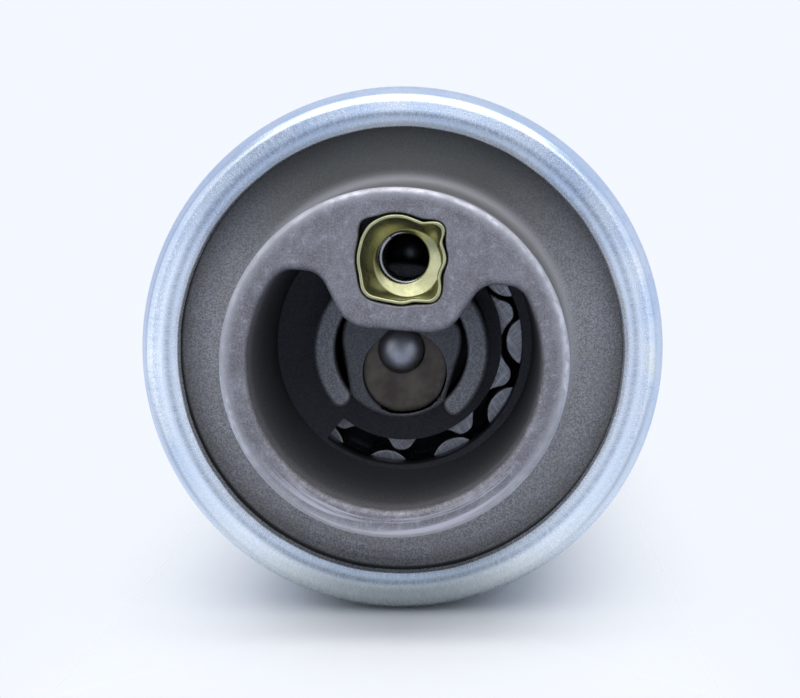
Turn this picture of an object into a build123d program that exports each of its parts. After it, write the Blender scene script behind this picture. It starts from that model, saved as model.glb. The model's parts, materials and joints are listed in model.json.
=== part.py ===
from build123d import *
import os
from math import cos, hypot, pi, radians, sin, sqrt, tan

os.makedirs("parts", exist_ok=True)

# Electric fuel pump lying on its side, in millimetres.
# The pump's axis runs along Y, the inlet looks towards -Y and +Z is up.
# A station is a distance along the axis, counted from the front of the inlet lip into the pump.

# Can
can_od = 44.0
can_wall = 1.5
can_length = 86.0
lip_width = 3.45
lip_thickness = 1.4
lip_bend = 0.8
lip_cone = 0.25
lip_edge_drop = 0.9
shoulder_taper = 2.8
taper_bend = 4.0
bevel_width = 0.85
bevel_depth = 0.4

# Clearances
stack_gap = 0.05
can_gap = 0.05
shaft_gap = 0.03
rotor_gap = 0.06
rotor_end_gap = 0.03
lobe_gap = 0.06
slide_gap = 0.15
touch_gap = 0.02

# Inlet housing
shoulder_width = 1.45
face_recess = 1.85
neck_od = 26.88
neck_reach = 9.6
neck_fillet = 1.2
rim_round = 0.45
mouth_r = 11.3
mouth_draft = 1.0
floor_drop = 3.2
plate_thickness = 2.8
casting_roll = -4.3
boss_bottom = 2.45
boss_half_width = 3.9
lobe_top = 6.5
lobe_half_width = 6.3
boss_round = 2.8
lobe_round = 1.9
horseshoe_r = 7.25
horseshoe_bore = 5.5
horseshoe_opening = 95.0
hub_r = 5.6
hub_top_half_width = 4.75
hub_top = 3.0
hub_half_width = 5.0
hub_waist = 0.6
hub_foot_half_width = 4.0
hub_round = 1.6
hub_front = 0.3
kidney_inner_r = 8.42
kidney_outer_r = 10.42
kidney_shift = 0.3
kidney_start = 235.3
kidney_sweep = 172.0
discharge_start = 56.0
discharge_sweep = 150.0
shadow_depth = 1.2

# Relief valve in the boss
relief_height = 7.94
pocket_side = 7.0
pocket_depth = 2.7
pocket_round = 0.9
relief_bore_r = 2.6
relief_port_r = 1.5
relief_seat_length = 2.0
relief_plate = 1.3
ball_r = 2.0
cup_side = 6.8
cup_sheet = 0.35
cup_mouth_r = 3.0
cup_hole_r = 1.92
cup_depth = 2.3
relief_coil_r = 2.1
relief_wire_r = 0.25
relief_turns = 7.0

# Seals
seal_section_r = 0.87
seal_groove_width = 2.3
seal_groove_setback = 0.9

# Shaft and inlet bush
shaft_r = 1.85
shaft_dome = 1.2
shaft_tip = -0.9
bush_r = 3.5
bush_offset_x = 0.3
bush_offset_z = -1.93
bush_front = 1.0
bush_length = 5.0

# Rotors: an inner rotor with ten lobes in an outer one with eleven
inner_lobes = 10
rotor_thickness = 8.04
eccentricity = 0.75
eccentric_angle = 226.0
outer_rotor_r = 13.2
lobe_inset = 1.58
root_inset = 2.3
lobe_r = 2.4
inner_phase = -128.6
samples_per_lobe = 16
dowel_r = 1.5
dowel_depth = 2.6
drive_pin_r = 0.75
drive_pin_length = 9.0

# Port plate
port_plate_thickness = 5.0

# Stator
flux_ring_wall = 1.75
magnet_wall = 4.6
magnet_overhang = 3.0
magnet_span = 130.0
clip_thickness = 0.5
clip_setback = 4.0
clip_leg = 2.6

# Armature
air_gap = 0.6
core_setback = 8.9
slot_count = 10
slot_bottom_r = 5.6
slot_top_r = 11.2
slot_width_deg = 20.0
slot_mouth = 1.4
insulator_thickness = 0.5
end_turn = 4.8
winding_gap = 0.12
commutator_r = 9.5
commutator_bore_r = 4.0
commutator_gap = 3.0
segment_thickness = 1.6
segment_slit = 0.5
hub_thickness = 2.8
washer_thickness = 0.5
washer_r = 3.2

# Outlet housing
carrier_depth = 10.55
carrier_recess = 5.0
carrier_wall = 2.9
outlet_face_recess = 1.35
bearing_r = 3.6
bearing_length = 6.5
bearing_boss_r = 5.2
brush_side = 5.0
brush_length = 7.0
brush_offset = 7.5
brush_tower_side = 7.4
brush_tower_reach = 1.8
brush_bore_end_wall = 1.4
brush_coil_r = 1.8
brush_wire_r = 0.2
brush_turns = 4.0
choke_offset = 14.2
choke_core_r = 1.5
choke_coil_r = 2.4
choke_length = 7.0
choke_pocket_r = 2.7
link_width = 2.2
link_thickness = 0.5
stud_x = 8.5
stud_drop = 9.0
stud_r = 2.0
stud_head_r = 3.4
stud_head = 1.5
stud_reach = 13.0
stud_tower_r = 4.4
stud_tower_reach = 4.5
stud_base = 3.5
nut_flats = 7.0
nut_height = 3.2
washer_disc_r = 4.2
washer_disc = 0.8

# Outlet and its check valve
outlet_rise = 9.5
chamber_r = 4.6
chamber_wall = 1.6
chamber_length = 13.0
dome_reach = 8.0
nozzle_bore_r = 3.0
nozzle_r = 4.0
barb_r = 4.75
barb_length = 3.4
barb_count = 3
nozzle_reach = 23.0
valve_seat_length = 3.0
valve_seat_bore_r = 2.4
poppet_r = 3.7
poppet_thickness = 1.5
poppet_step_r = 2.6
poppet_step = 1.6
seal_disc_r = 3.2
seal_disc = 0.6
valve_coil_r = 3.35
valve_wire_r = 0.2
valve_turns = 5.0

# Radii and stations that follow from the sizes above
can_r = can_od / 2
can_bore_r = can_r - can_wall
lip_r = can_r - lip_width
casting_r = can_bore_r - can_gap
neck_r = neck_od / 2
shoulder_r = casting_r - shoulder_width
at_rim = -neck_reach
at_shoulder = lip_thickness + stack_gap
at_face = at_shoulder + face_recess
at_floor = at_face + floor_drop
at_rotor = at_floor + plate_thickness
ring_thickness = rotor_thickness + 2 * rotor_end_gap
at_ports = at_rotor + ring_thickness
at_motor = at_ports + port_plate_thickness
at_back = can_length - at_shoulder
at_carrier = at_back - carrier_depth
at_commutator = at_carrier - commutator_gap
at_core_end = at_commutator - segment_thickness - hub_thickness - end_turn - insulator_thickness
at_core = at_motor + core_setback
at_end_wall = at_carrier + carrier_recess
at_outlet_face = at_back - outlet_face_recess
at_nozzle = at_back + nozzle_reach
core_length = at_core_end - at_core
magnet_length = core_length + 2 * magnet_overhang
clip_length = magnet_length - 2 * clip_setback
lobe_circle_r = outer_rotor_r - lobe_inset
root_r = outer_rotor_r - root_inset
dowel_circle_r = (outer_rotor_r + rotor_gap + casting_r) / 2
flux_ring_bore_r = casting_r - flux_ring_wall
magnet_bore_r = flux_ring_bore_r - can_gap - magnet_wall
core_r = magnet_bore_r - air_gap
carrier_bore_r = casting_r - carrier_wall

# The origin is on the surface that the can lies on, below the middle of the whole length
axis_z = can_r
inlet_y = neck_reach - (neck_reach + at_nozzle) / 2
lengthwise = Plane(origin=(0, inlet_y, axis_z), x_dir=(0, 1, 0), z_dir=(1, 0, 0))
pump_axis = Axis((0, inlet_y, axis_z), (0, 1, 0))
outer_teeth = inner_lobes + 1
centre_x = eccentricity * cos(radians(eccentric_angle))
centre_z = eccentricity * sin(radians(eccentric_angle))
kidney_x = kidney_shift * cos(radians(eccentric_angle - casting_roll))
kidney_z = kidney_shift * sin(radians(eccentric_angle - casting_roll))


def station(at, roll=0.0):
    """Return the plane across the pump at a station: x to the right, y up, facing the inlet."""
    across = (cos(radians(roll)), 0, sin(radians(roll)))
    return Plane(origin=(0, inlet_y + at, axis_z), x_dir=across, z_dir=(0, -1, 0))


def corner(sketch, x, y):
    """Return the corner of a flat outline that lies nearest to a place on its plane."""
    return sketch.vertices().sort_by_distance((x, y, 0))[0]


def ring_sector(plane, inner_r, outer_r, start, sweep, outer_centre=(0, 0)):
    """Return a face between two arcs, the inner one about the plane's origin, with straight ends."""
    with BuildSketch(plane) as sector:
        with BuildLine():
            outer = CenterArc(outer_centre, outer_r, start, sweep)
            inner = CenterArc((0, 0), inner_r, start, sweep)
            Line(outer @ 0, inner @ 0)
            Line(outer @ 1, inner @ 1)
        make_face()
    return sector.sketch


def mouth_face(at, draft):
    """Return the outline of the mouth at a station: a circle less the boss that hangs from the top."""
    with BuildSketch(station(at, casting_roll)) as mouth:
        Circle(mouth_r - draft)
        with BuildSketch(mode=Mode.PRIVATE) as boss:
            with BuildLine():
                Polyline(
                    (-neck_r, neck_r),
                    (-neck_r, lobe_top - draft),
                    (-lobe_half_width - draft, lobe_top - draft),
                    (-boss_half_width - draft, boss_bottom - draft),
                    (boss_half_width + draft, boss_bottom - draft),
                    (lobe_half_width + draft, lobe_top - draft),
                    (neck_r, lobe_top - draft),
                    (neck_r, neck_r),
                    close=True,
                )
            make_face()
        add(boss.sketch, mode=Mode.SUBTRACT)
        lobe_end = sqrt((mouth_r - draft) ** 2 - (lobe_top - draft) ** 2)
        for side in (-1, 1):
            fillet(corner(mouth, side * boss_half_width, boss_bottom - draft), boss_round)
            fillet(corner(mouth, side * (lobe_half_width + draft), lobe_top - draft), lobe_round)
            fillet(corner(mouth, side * lobe_end, lobe_top - draft), lobe_round)
    return mouth.sketch


def seal_ring(at):
    """Return the face of an O-ring's section, set in the groove that starts at a station."""
    with BuildSketch(lengthwise) as section:
        with Locations((at, casting_r - seal_section_r)):
            Circle(seal_section_r)
    return section.sketch


def lobe_point(turn):
    """Return a point of the inner rotor's outline.

    The centre of an outer lobe, seen from the turning inner rotor, runs along a circle with a
    smaller circle on it. The outline lies one lobe radius and the gap inside that track.
    """
    angle = (turn + 0.8 * sin(turn)) / inner_lobes
    fast = outer_teeth * angle
    x = lobe_circle_r * cos(angle) + eccentricity * cos(fast)
    y = lobe_circle_r * sin(angle) + eccentricity * sin(fast)
    along_x = -lobe_circle_r * sin(angle) - eccentricity * outer_teeth * sin(fast)
    along_y = lobe_circle_r * cos(angle) + eccentricity * outer_teeth * cos(fast)
    inwards = (lobe_r + lobe_gap) / hypot(along_x, along_y)
    return (x - along_y * inwards, y + along_x * inwards)


# Rolled steel can, with a lip at each end
with BuildPart() as can:
    lip = [
        (lip_thickness, can_bore_r),
        (lip_thickness, lip_r),
        (bevel_depth, lip_r),
        (0, lip_r + bevel_width),
        (lip_cone, can_r - lip_edge_drop),
        (shoulder_taper, can_r),
    ]
    far_lip = [(can_length - at, r) for at, r in reversed(lip)]
    with BuildSketch(lengthwise) as can_wall_section:
        with BuildLine():
            Polyline(*lip, *far_lip, close=True)
        make_face()
        for at, radius, bend in (
            (lip_cone, can_r - lip_edge_drop, lip_bend),
            (shoulder_taper, can_r, taper_bend),
            (bevel_depth, lip_r, bevel_depth / 4),
        ):
            fillet(corner(can_wall_section, at, radius), bend)
            fillet(corner(can_wall_section, can_length - at, radius), bend)
    revolve(axis=pump_axis)
can.part.label = "can"
export_step(can.part, "parts/can.step")

# Die-cast inlet housing: flange, neck, mouth, boss, horseshoe and hub
at_groove = at_shoulder + face_recess + seal_groove_setback
at_seat = at_rotor - relief_plate - relief_seat_length
with BuildPart() as inlet_housing:
    with BuildSketch(lengthwise) as casting:
        with BuildLine():
            Polyline(
                (at_rim, 0),
                (at_rim, neck_r),
                (at_face, neck_r),
                (at_face, shoulder_r),
                (at_shoulder, shoulder_r),
                (at_shoulder, casting_r),
                (at_groove, casting_r),
                (at_groove, casting_r - 2 * seal_section_r),
                (at_groove + seal_groove_width, casting_r - 2 * seal_section_r),
                (at_groove + seal_groove_width, casting_r),
                (at_rotor, casting_r),
                (at_rotor, 0),
                close=True,
            )
        make_face()
        fillet(corner(casting, at_rim, neck_r), rim_round)
        fillet(corner(casting, at_face, neck_r), neck_fillet)
        fillet(corner(casting, at_face, shoulder_r), rim_round)
        chamfer(corner(casting, at_shoulder, shoulder_r), rim_round)
    revolve(axis=pump_axis)
    draft = (at_floor - at_rim) * tan(radians(mouth_draft))
    loft([mouth_face(at_rim, 0), mouth_face(at_floor, draft)], ruled=True, mode=Mode.SUBTRACT)
    with BuildSketch(station(at_floor, casting_roll)) as horseshoe:
        Circle(horseshoe_r)
        Circle(horseshoe_bore, mode=Mode.SUBTRACT)
        half_opening = radians(horseshoe_opening / 2)
        reach = 2 * horseshoe_r
        with BuildLine():
            Polyline(
                (0, 0),
                (-reach * sin(half_opening), -reach * cos(half_opening)),
                (0, -2 * reach),
                (reach * sin(half_opening), -reach * cos(half_opening)),
                close=True,
            )
        make_face(mode=Mode.SUBTRACT)
        arm_r = (horseshoe_r + horseshoe_bore) / 2
        with Locations(
            (-arm_r * sin(half_opening), -arm_r * cos(half_opening)),
            (arm_r * sin(half_opening), -arm_r * cos(half_opening)),
        ):
            Circle((horseshoe_r - horseshoe_bore) / 2)
    extrude(amount=at_floor - hub_front)
    hub_foot = -sqrt(hub_r**2 - hub_foot_half_width**2)
    with BuildSketch(station(at_floor, casting_roll)) as hub:
        with BuildLine():
            Polyline(
                (-hub_foot_half_width, hub_foot),
                (-hub_half_width, hub_waist),
                (-hub_top_half_width, hub_top),
                (hub_top_half_width, hub_top),
                (hub_half_width, hub_waist),
                (hub_foot_half_width, hub_foot),
            )
            ThreePointArc(
                (hub_foot_half_width, hub_foot), (0, -hub_r), (-hub_foot_half_width, hub_foot)
            )
        make_face()
        for side in (-1, 1):
            fillet(corner(hub, side * hub_top_half_width, hub_top), hub_round)
    extrude(amount=at_floor - hub_front)
    extrude(
        ring_sector(
            station(at_rotor, casting_roll),
            kidney_inner_r,
            kidney_outer_r,
            kidney_start,
            kidney_sweep,
            outer_centre=(kidney_x, kidney_z),
        ),
        amount=plate_thickness,
        mode=Mode.SUBTRACT,
    )
    extrude(
        ring_sector(
            station(at_rotor), kidney_inner_r, kidney_outer_r, discharge_start, discharge_sweep
        ),
        amount=shadow_depth,
        mode=Mode.SUBTRACT,
    )
    with BuildSketch(station(at_rim, casting_roll)):
        with Locations((0, relief_height)):
            RectangleRounded(pocket_side, pocket_side, pocket_round)
    extrude(amount=-pocket_depth, mode=Mode.SUBTRACT)
    with BuildSketch(station(at_rim, casting_roll)):
        with Locations((0, relief_height)):
            Circle(relief_bore_r)
    extrude(amount=-(at_seat + relief_seat_length - at_rim), mode=Mode.SUBTRACT)
    with BuildSketch(station(at_rotor, casting_roll)):
        with Locations((0, relief_height)):
            Circle(relief_port_r)
    extrude(amount=relief_plate, mode=Mode.SUBTRACT)
    with BuildSketch(station(at_rotor)):
        Circle(shaft_r + 5 * shaft_gap)
    extrude(amount=at_rotor - hub_front, mode=Mode.SUBTRACT)
    with BuildSketch(station(bush_front + bush_length)):
        with Locations((bush_offset_x, bush_offset_z)):
            Circle(bush_r)
    extrude(amount=bush_front + bush_length - hub_front, mode=Mode.SUBTRACT)
    with BuildSketch(station(at_rotor)):
        with PolarLocations(dowel_circle_r, 2, start_angle=eccentric_angle - 90):
            Circle(dowel_r)
    extrude(amount=dowel_depth, mode=Mode.SUBTRACT)
inlet_housing.part.label = "inlet_housing"
export_step(inlet_housing.part, "parts/inlet_housing.step")

# Pressed brass cup that holds the relief spring
boss_axis = Axis(
    station(0, casting_roll).from_local_coords((0, relief_height, 0)), (0, 1, 0)
)
at_cup = at_rim + 0.1
with BuildPart() as relief_retainer:
    with BuildSketch(station(at_cup + cup_sheet, casting_roll)) as frame:
        with Locations((0, relief_height)):
            RectangleRounded(cup_side, cup_side, pocket_round)
            Circle(cup_mouth_r, mode=Mode.SUBTRACT)
    extrude(amount=cup_sheet)
    cup_plane = Plane(
        origin=station(0, casting_roll).from_local_coords((0, relief_height, 0)),
        x_dir=(0, 1, 0),
        z_dir=(1, 0, 0),
    )
    with BuildSketch(cup_plane):
        with BuildLine():
            Polyline(
                (at_cup, cup_mouth_r),
                (at_cup + cup_sheet, cup_mouth_r + cup_sheet),
                (at_cup + cup_depth, cup_hole_r + cup_sheet),
                (at_cup + cup_depth, cup_hole_r),
                close=True,
            )
        make_face()
    revolve(axis=boss_axis)
relief_retainer.part.label = "relief_retainer"
export_step(relief_retainer.part, "parts/relief_retainer.step")

# Seat, ball and spring of the relief valve
with BuildPart() as relief_seat:
    with BuildSketch(station(at_seat + relief_seat_length, casting_roll)):
        with Locations((0, relief_height)):
            Circle(relief_bore_r)
            Circle(relief_port_r, mode=Mode.SUBTRACT)
    extrude(amount=relief_seat_length)
relief_seat.part.label = "relief_seat"
export_step(relief_seat.part, "parts/relief_seat.step")

at_ball = at_seat - sqrt(ball_r**2 - relief_port_r**2) - touch_gap
with BuildPart() as relief_ball:
    with Locations(station(at_ball, casting_roll).from_local_coords((0, relief_height, 0))):
        Sphere(ball_r)
relief_ball.part.label = "relief_ball"
export_step(relief_ball.part, "parts/relief_ball.step")

# The last turn of the spring rests on the ball where its wire meets the ball's front
at_relief_coil = at_cup + cup_depth + relief_wire_r + touch_gap
relief_rest = sqrt((ball_r + relief_wire_r + touch_gap) ** 2 - relief_coil_r**2)
relief_coil_length = at_ball - relief_rest - at_relief_coil
with BuildPart() as relief_spring:
    with BuildLine() as relief_coil:
        Helix(
            relief_coil_length / relief_turns,
            relief_coil_length,
            relief_coil_r,
            center=station(at_relief_coil, casting_roll).from_local_coords((0, relief_height, 0)),
            direction=(0, 1, 0),
        )
    with BuildSketch(Plane(origin=relief_coil.line @ 0, z_dir=relief_coil.line % 0)):
        Circle(relief_wire_r)
    sweep(path=relief_coil.line, is_frenet=True)
relief_spring.part.label = "relief_spring"
export_step(relief_spring.part, "parts/relief_spring.step")

# O-rings between the housings and the can
at_far_groove = at_back - (at_groove - at_shoulder) - seal_groove_width
with BuildPart() as inlet_seal:
    revolve(seal_ring(at_groove + seal_groove_width / 2), axis=pump_axis)
inlet_seal.part.label = "inlet_seal"
export_step(inlet_seal.part, "parts/inlet_seal.step")

with BuildPart() as outlet_seal:
    revolve(seal_ring(at_far_groove + seal_groove_width / 2), axis=pump_axis)
outlet_seal.part.label = "outlet_seal"
export_step(outlet_seal.part, "parts/outlet_seal.step")

# Shaft with a domed end, and the bronze insert that carries it in the hub
at_drive_pin = at_ports - rotor_end_gap - drive_pin_r
at_shaft_end = at_carrier + bearing_length - 1.0
with BuildPart() as shaft:
    with BuildSketch(lengthwise):
        with BuildLine():
            nose = ThreePointArc(
                (shaft_tip, 0),
                (shaft_tip + shaft_dome * 0.25, shaft_r * 0.66),
                (shaft_tip + shaft_dome, shaft_r),
            )
            Polyline(nose @ 1, (at_shaft_end, shaft_r), (at_shaft_end, 0), nose @ 0)
        make_face()
    revolve(axis=pump_axis)
    with BuildSketch(Plane(origin=(0, inlet_y + at_drive_pin, axis_z), z_dir=(0, 0, 1))):
        Circle(drive_pin_r)
    extrude(amount=2 * shaft_r, both=True, mode=Mode.SUBTRACT)
shaft.part.label = "shaft"
export_step(shaft.part, "parts/shaft.step")

with BuildPart() as inlet_bush:
    with BuildSketch(station(bush_front + bush_length)):
        with Locations((bush_offset_x, bush_offset_z)):
            Circle(bush_r)
        Circle(shaft_r + shaft_gap, mode=Mode.SUBTRACT)
    extrude(amount=bush_length)
inlet_bush.part.label = "inlet_bush"
export_step(inlet_bush.part, "parts/inlet_bush.step")

with BuildPart() as drive_pin:
    with BuildSketch(Plane(origin=(0, inlet_y + at_drive_pin, axis_z), z_dir=(0, 0, 1))):
        Circle(drive_pin_r)
    extrude(amount=drive_pin_length / 2, both=True)
drive_pin.part.label = "drive_pin"
export_step(drive_pin.part, "parts/drive_pin.step")

# Inner rotor, driven by the cross pin in its back face
at_rotor_back = at_ports - rotor_end_gap
inner_points = [
    lobe_point(2 * pi * k / samples_per_lobe) for k in range(inner_lobes * samples_per_lobe)
]
with BuildPart() as inner_rotor:
    with BuildSketch(station(at_rotor_back, inner_phase)):
        with BuildLine():
            Spline(*inner_points, periodic=True)
        make_face()
        Circle(shaft_r + touch_gap, mode=Mode.SUBTRACT)
    extrude(amount=rotor_thickness)
    with BuildSketch(station(at_rotor_back)):
        Rectangle(2 * drive_pin_r + 2 * touch_gap, drive_pin_length + 1)
    extrude(amount=2 * drive_pin_r + touch_gap, mode=Mode.SUBTRACT)
inner_rotor.part.label = "inner_rotor"
export_step(inner_rotor.part, "parts/inner_rotor.step")

# Outer rotor, in mesh with the inner one, and the eccentric ring round it
outer_phase = eccentric_angle + (inner_phase - eccentric_angle) * inner_lobes / outer_teeth
with BuildPart() as outer_rotor:
    with BuildSketch(station(at_rotor_back)):
        with Locations((centre_x, centre_z)):
            Circle(outer_rotor_r)
            with BuildSketch(mode=Mode.PRIVATE) as chamber:
                Circle(root_r)
                with PolarLocations(lobe_circle_r, outer_teeth, start_angle=outer_phase):
                    Circle(lobe_r, mode=Mode.SUBTRACT)
            add(chamber.sketch, mode=Mode.SUBTRACT)
    extrude(amount=rotor_thickness)
outer_rotor.part.label = "outer_rotor"
export_step(outer_rotor.part, "parts/outer_rotor.step")

with BuildPart() as cam_ring:
    with BuildSketch(station(at_ports)):
        Circle(casting_r)
        with Locations((centre_x, centre_z)):
            Circle(outer_rotor_r + rotor_gap, mode=Mode.SUBTRACT)
        with PolarLocations(dowel_circle_r, 2, start_angle=eccentric_angle - 90):
            Circle(dowel_r, mode=Mode.SUBTRACT)
    extrude(amount=ring_thickness)
cam_ring.part.label = "cam_ring"
export_step(cam_ring.part, "parts/cam_ring.step")

with BuildPart() as dowel_pins:
    with BuildSketch(station(at_ports + dowel_depth - touch_gap)):
        with PolarLocations(dowel_circle_r, 2, start_angle=eccentric_angle - 90):
            Circle(dowel_r)
    extrude(amount=ring_thickness + 2 * dowel_depth - 2 * touch_gap)
dowel_pins.part.label = "dowel_pins"
export_step(dowel_pins.part, "parts/dowel_pins.step")

# Port plate with the discharge port
with BuildPart() as port_plate:
    with BuildSketch(station(at_motor)):
        Circle(casting_r)
        Circle(shaft_r + shaft_gap, mode=Mode.SUBTRACT)
        add(
            ring_sector(Plane.XY, kidney_inner_r, kidney_outer_r, discharge_start, discharge_sweep),
            mode=Mode.SUBTRACT,
        )
    extrude(amount=port_plate_thickness)
    with BuildSketch(station(at_ports)):
        with PolarLocations(dowel_circle_r, 2, start_angle=eccentric_angle - 90):
            Circle(dowel_r)
    extrude(amount=-dowel_depth, mode=Mode.SUBTRACT)
port_plate.part.label = "port_plate"
export_step(port_plate.part, "parts/port_plate.step")

# Stator: steel ring, two magnets and the spring clips between them
with BuildPart() as flux_ring:
    with BuildSketch(station(at_carrier)):
        Circle(casting_r)
        Circle(flux_ring_bore_r, mode=Mode.SUBTRACT)
    extrude(amount=at_carrier - at_motor)
flux_ring.part.label = "flux_ring"
export_step(flux_ring.part, "parts/flux_ring.step")

at_magnet_end = (at_core + at_core_end + magnet_length) / 2
magnet_r = flux_ring_bore_r - can_gap
with BuildPart() as magnet_right:
    extrude(
        ring_sector(
            station(at_magnet_end), magnet_bore_r, magnet_r, -magnet_span / 2, magnet_span
        ),
        amount=magnet_length,
    )
magnet_right.part.label = "magnet_right"
export_step(magnet_right.part, "parts/magnet_right.step")

with BuildPart() as magnet_left:
    extrude(
        ring_sector(
            station(at_magnet_end), magnet_bore_r, magnet_r, 180 - magnet_span / 2, magnet_span
        ),
        amount=magnet_length,
    )
magnet_left.part.label = "magnet_left"
export_step(magnet_left.part, "parts/magnet_left.step")

at_clip_end = at_magnet_end - clip_setback
clip_half = (180 - magnet_span) / 2 - 0.5
with BuildPart() as magnet_clips:
    for middle in (90, 270):
        extrude(
            ring_sector(
                station(at_clip_end),
                magnet_r - clip_thickness,
                magnet_r,
                middle - clip_half,
                2 * clip_half,
            ),
            amount=clip_length,
        )
        for side in (-1, 1):
            leg_angle = clip_half - 2.0
            extrude(
                ring_sector(
                    station(at_clip_end),
                    magnet_r - clip_leg,
                    magnet_r,
                    middle + side * (leg_angle + 1.0) - 1.0,
                    2.0,
                ),
                amount=clip_length,
            )
magnet_clips.part.label = "magnet_clips"
export_step(magnet_clips.part, "parts/magnet_clips.step")

# Armature: slotted core, end insulators and windings
slot_pitch = 360 / slot_count
with BuildPart() as armature_core:
    with BuildSketch(station(at_core_end)):
        Circle(core_r)
        Circle(shaft_r, mode=Mode.SUBTRACT)
        for k in range(slot_count):
            add(
                ring_sector(
                    Plane.XY,
                    slot_bottom_r,
                    slot_top_r,
                    k * slot_pitch - slot_width_deg / 2,
                    slot_width_deg,
                ),
                mode=Mode.SUBTRACT,
            )
        with PolarLocations(core_r, slot_count):
            Rectangle(2 * (core_r - slot_top_r) + 1, slot_mouth, mode=Mode.SUBTRACT)
    extrude(amount=core_length)
armature_core.part.label = "armature_core"
export_step(armature_core.part, "parts/armature_core.step")

with BuildPart() as end_insulators:
    for at_disc in (at_core, at_core_end + insulator_thickness):
        with BuildSketch(station(at_disc)):
            Circle(slot_bottom_r)
            Circle(shaft_r, mode=Mode.SUBTRACT)
        extrude(amount=insulator_thickness)
end_insulators.part.label = "end_insulators"
export_step(end_insulators.part, "parts/end_insulators.step")

with BuildPart() as windings:
    bundle_inner_r = slot_bottom_r + winding_gap
    bundle_outer_r = slot_top_r - winding_gap
    bundle_half = slot_width_deg / 2 - 1.2
    at_bundle_end = at_core_end + winding_gap
    for at_bundle in (at_core - winding_gap, at_bundle_end + end_turn - winding_gap):
        with BuildSketch(station(at_bundle)):
            Circle(bundle_outer_r)
            Circle(bundle_inner_r, mode=Mode.SUBTRACT)
        extrude(amount=end_turn - winding_gap)
    fillet(windings.edges().filter_by(GeomType.CIRCLE).group_by(SortBy.RADIUS)[-1], end_turn / 4)
    for k in range(slot_count):
        extrude(
            ring_sector(
                station(at_bundle_end),
                bundle_inner_r,
                bundle_outer_r,
                k * slot_pitch - bundle_half,
                2 * bundle_half,
            ),
            amount=core_length + 2 * winding_gap,
        )
windings.part.label = "windings"
export_step(windings.part, "parts/windings.step")

# Flat commutator: moulded hub and copper segments
at_hub = at_commutator - segment_thickness
with BuildPart() as commutator_hub:
    with BuildSketch(lengthwise):
        with BuildLine():
            Polyline(
                (at_hub - hub_thickness, shaft_r),
                (at_hub - hub_thickness, commutator_r),
                (at_hub, commutator_r),
                (at_hub, commutator_bore_r),
                (at_carrier - washer_thickness - 2 * stack_gap, commutator_bore_r - 0.6),
                (at_carrier - washer_thickness - 2 * stack_gap, shaft_r),
                close=True,
            )
        make_face()
    revolve(axis=pump_axis)
commutator_hub.part.label = "commutator_hub"
export_step(commutator_hub.part, "parts/commutator_hub.step")

with BuildPart() as commutator_segments:
    slit_deg = segment_slit / commutator_r * 180 / pi
    for k in range(slot_count):
        extrude(
            ring_sector(
                station(at_commutator),
                commutator_bore_r,
                commutator_r,
                k * slot_pitch + slit_deg / 2,
                slot_pitch - slit_deg,
            ),
            amount=segment_thickness,
        )
commutator_segments.part.label = "commutator_segments"
export_step(commutator_segments.part, "parts/commutator_segments.step")

with BuildPart() as shaft_washers:
    for at_washer in (at_carrier - stack_gap, at_motor + stack_gap + washer_thickness):
        with BuildSketch(station(at_washer)):
            Circle(washer_r)
            Circle(shaft_r + shaft_gap, mode=Mode.SUBTRACT)
        extrude(amount=washer_thickness)
shaft_washers.part.label = "shaft_washers"
export_step(shaft_washers.part, "parts/shaft_washers.step")

# Spacer sleeve between the port plate's washer and the core
with BuildPart() as shaft_sleeve:
    with BuildSketch(station(at_core - insulator_thickness)):
        Circle(washer_r)
        Circle(shaft_r, mode=Mode.SUBTRACT)
    extrude(amount=at_core - insulator_thickness - at_motor - washer_thickness - 2 * stack_gap)
shaft_sleeve.part.label = "shaft_sleeve"
export_step(shaft_sleeve.part, "parts/shaft_sleeve.step")

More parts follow.
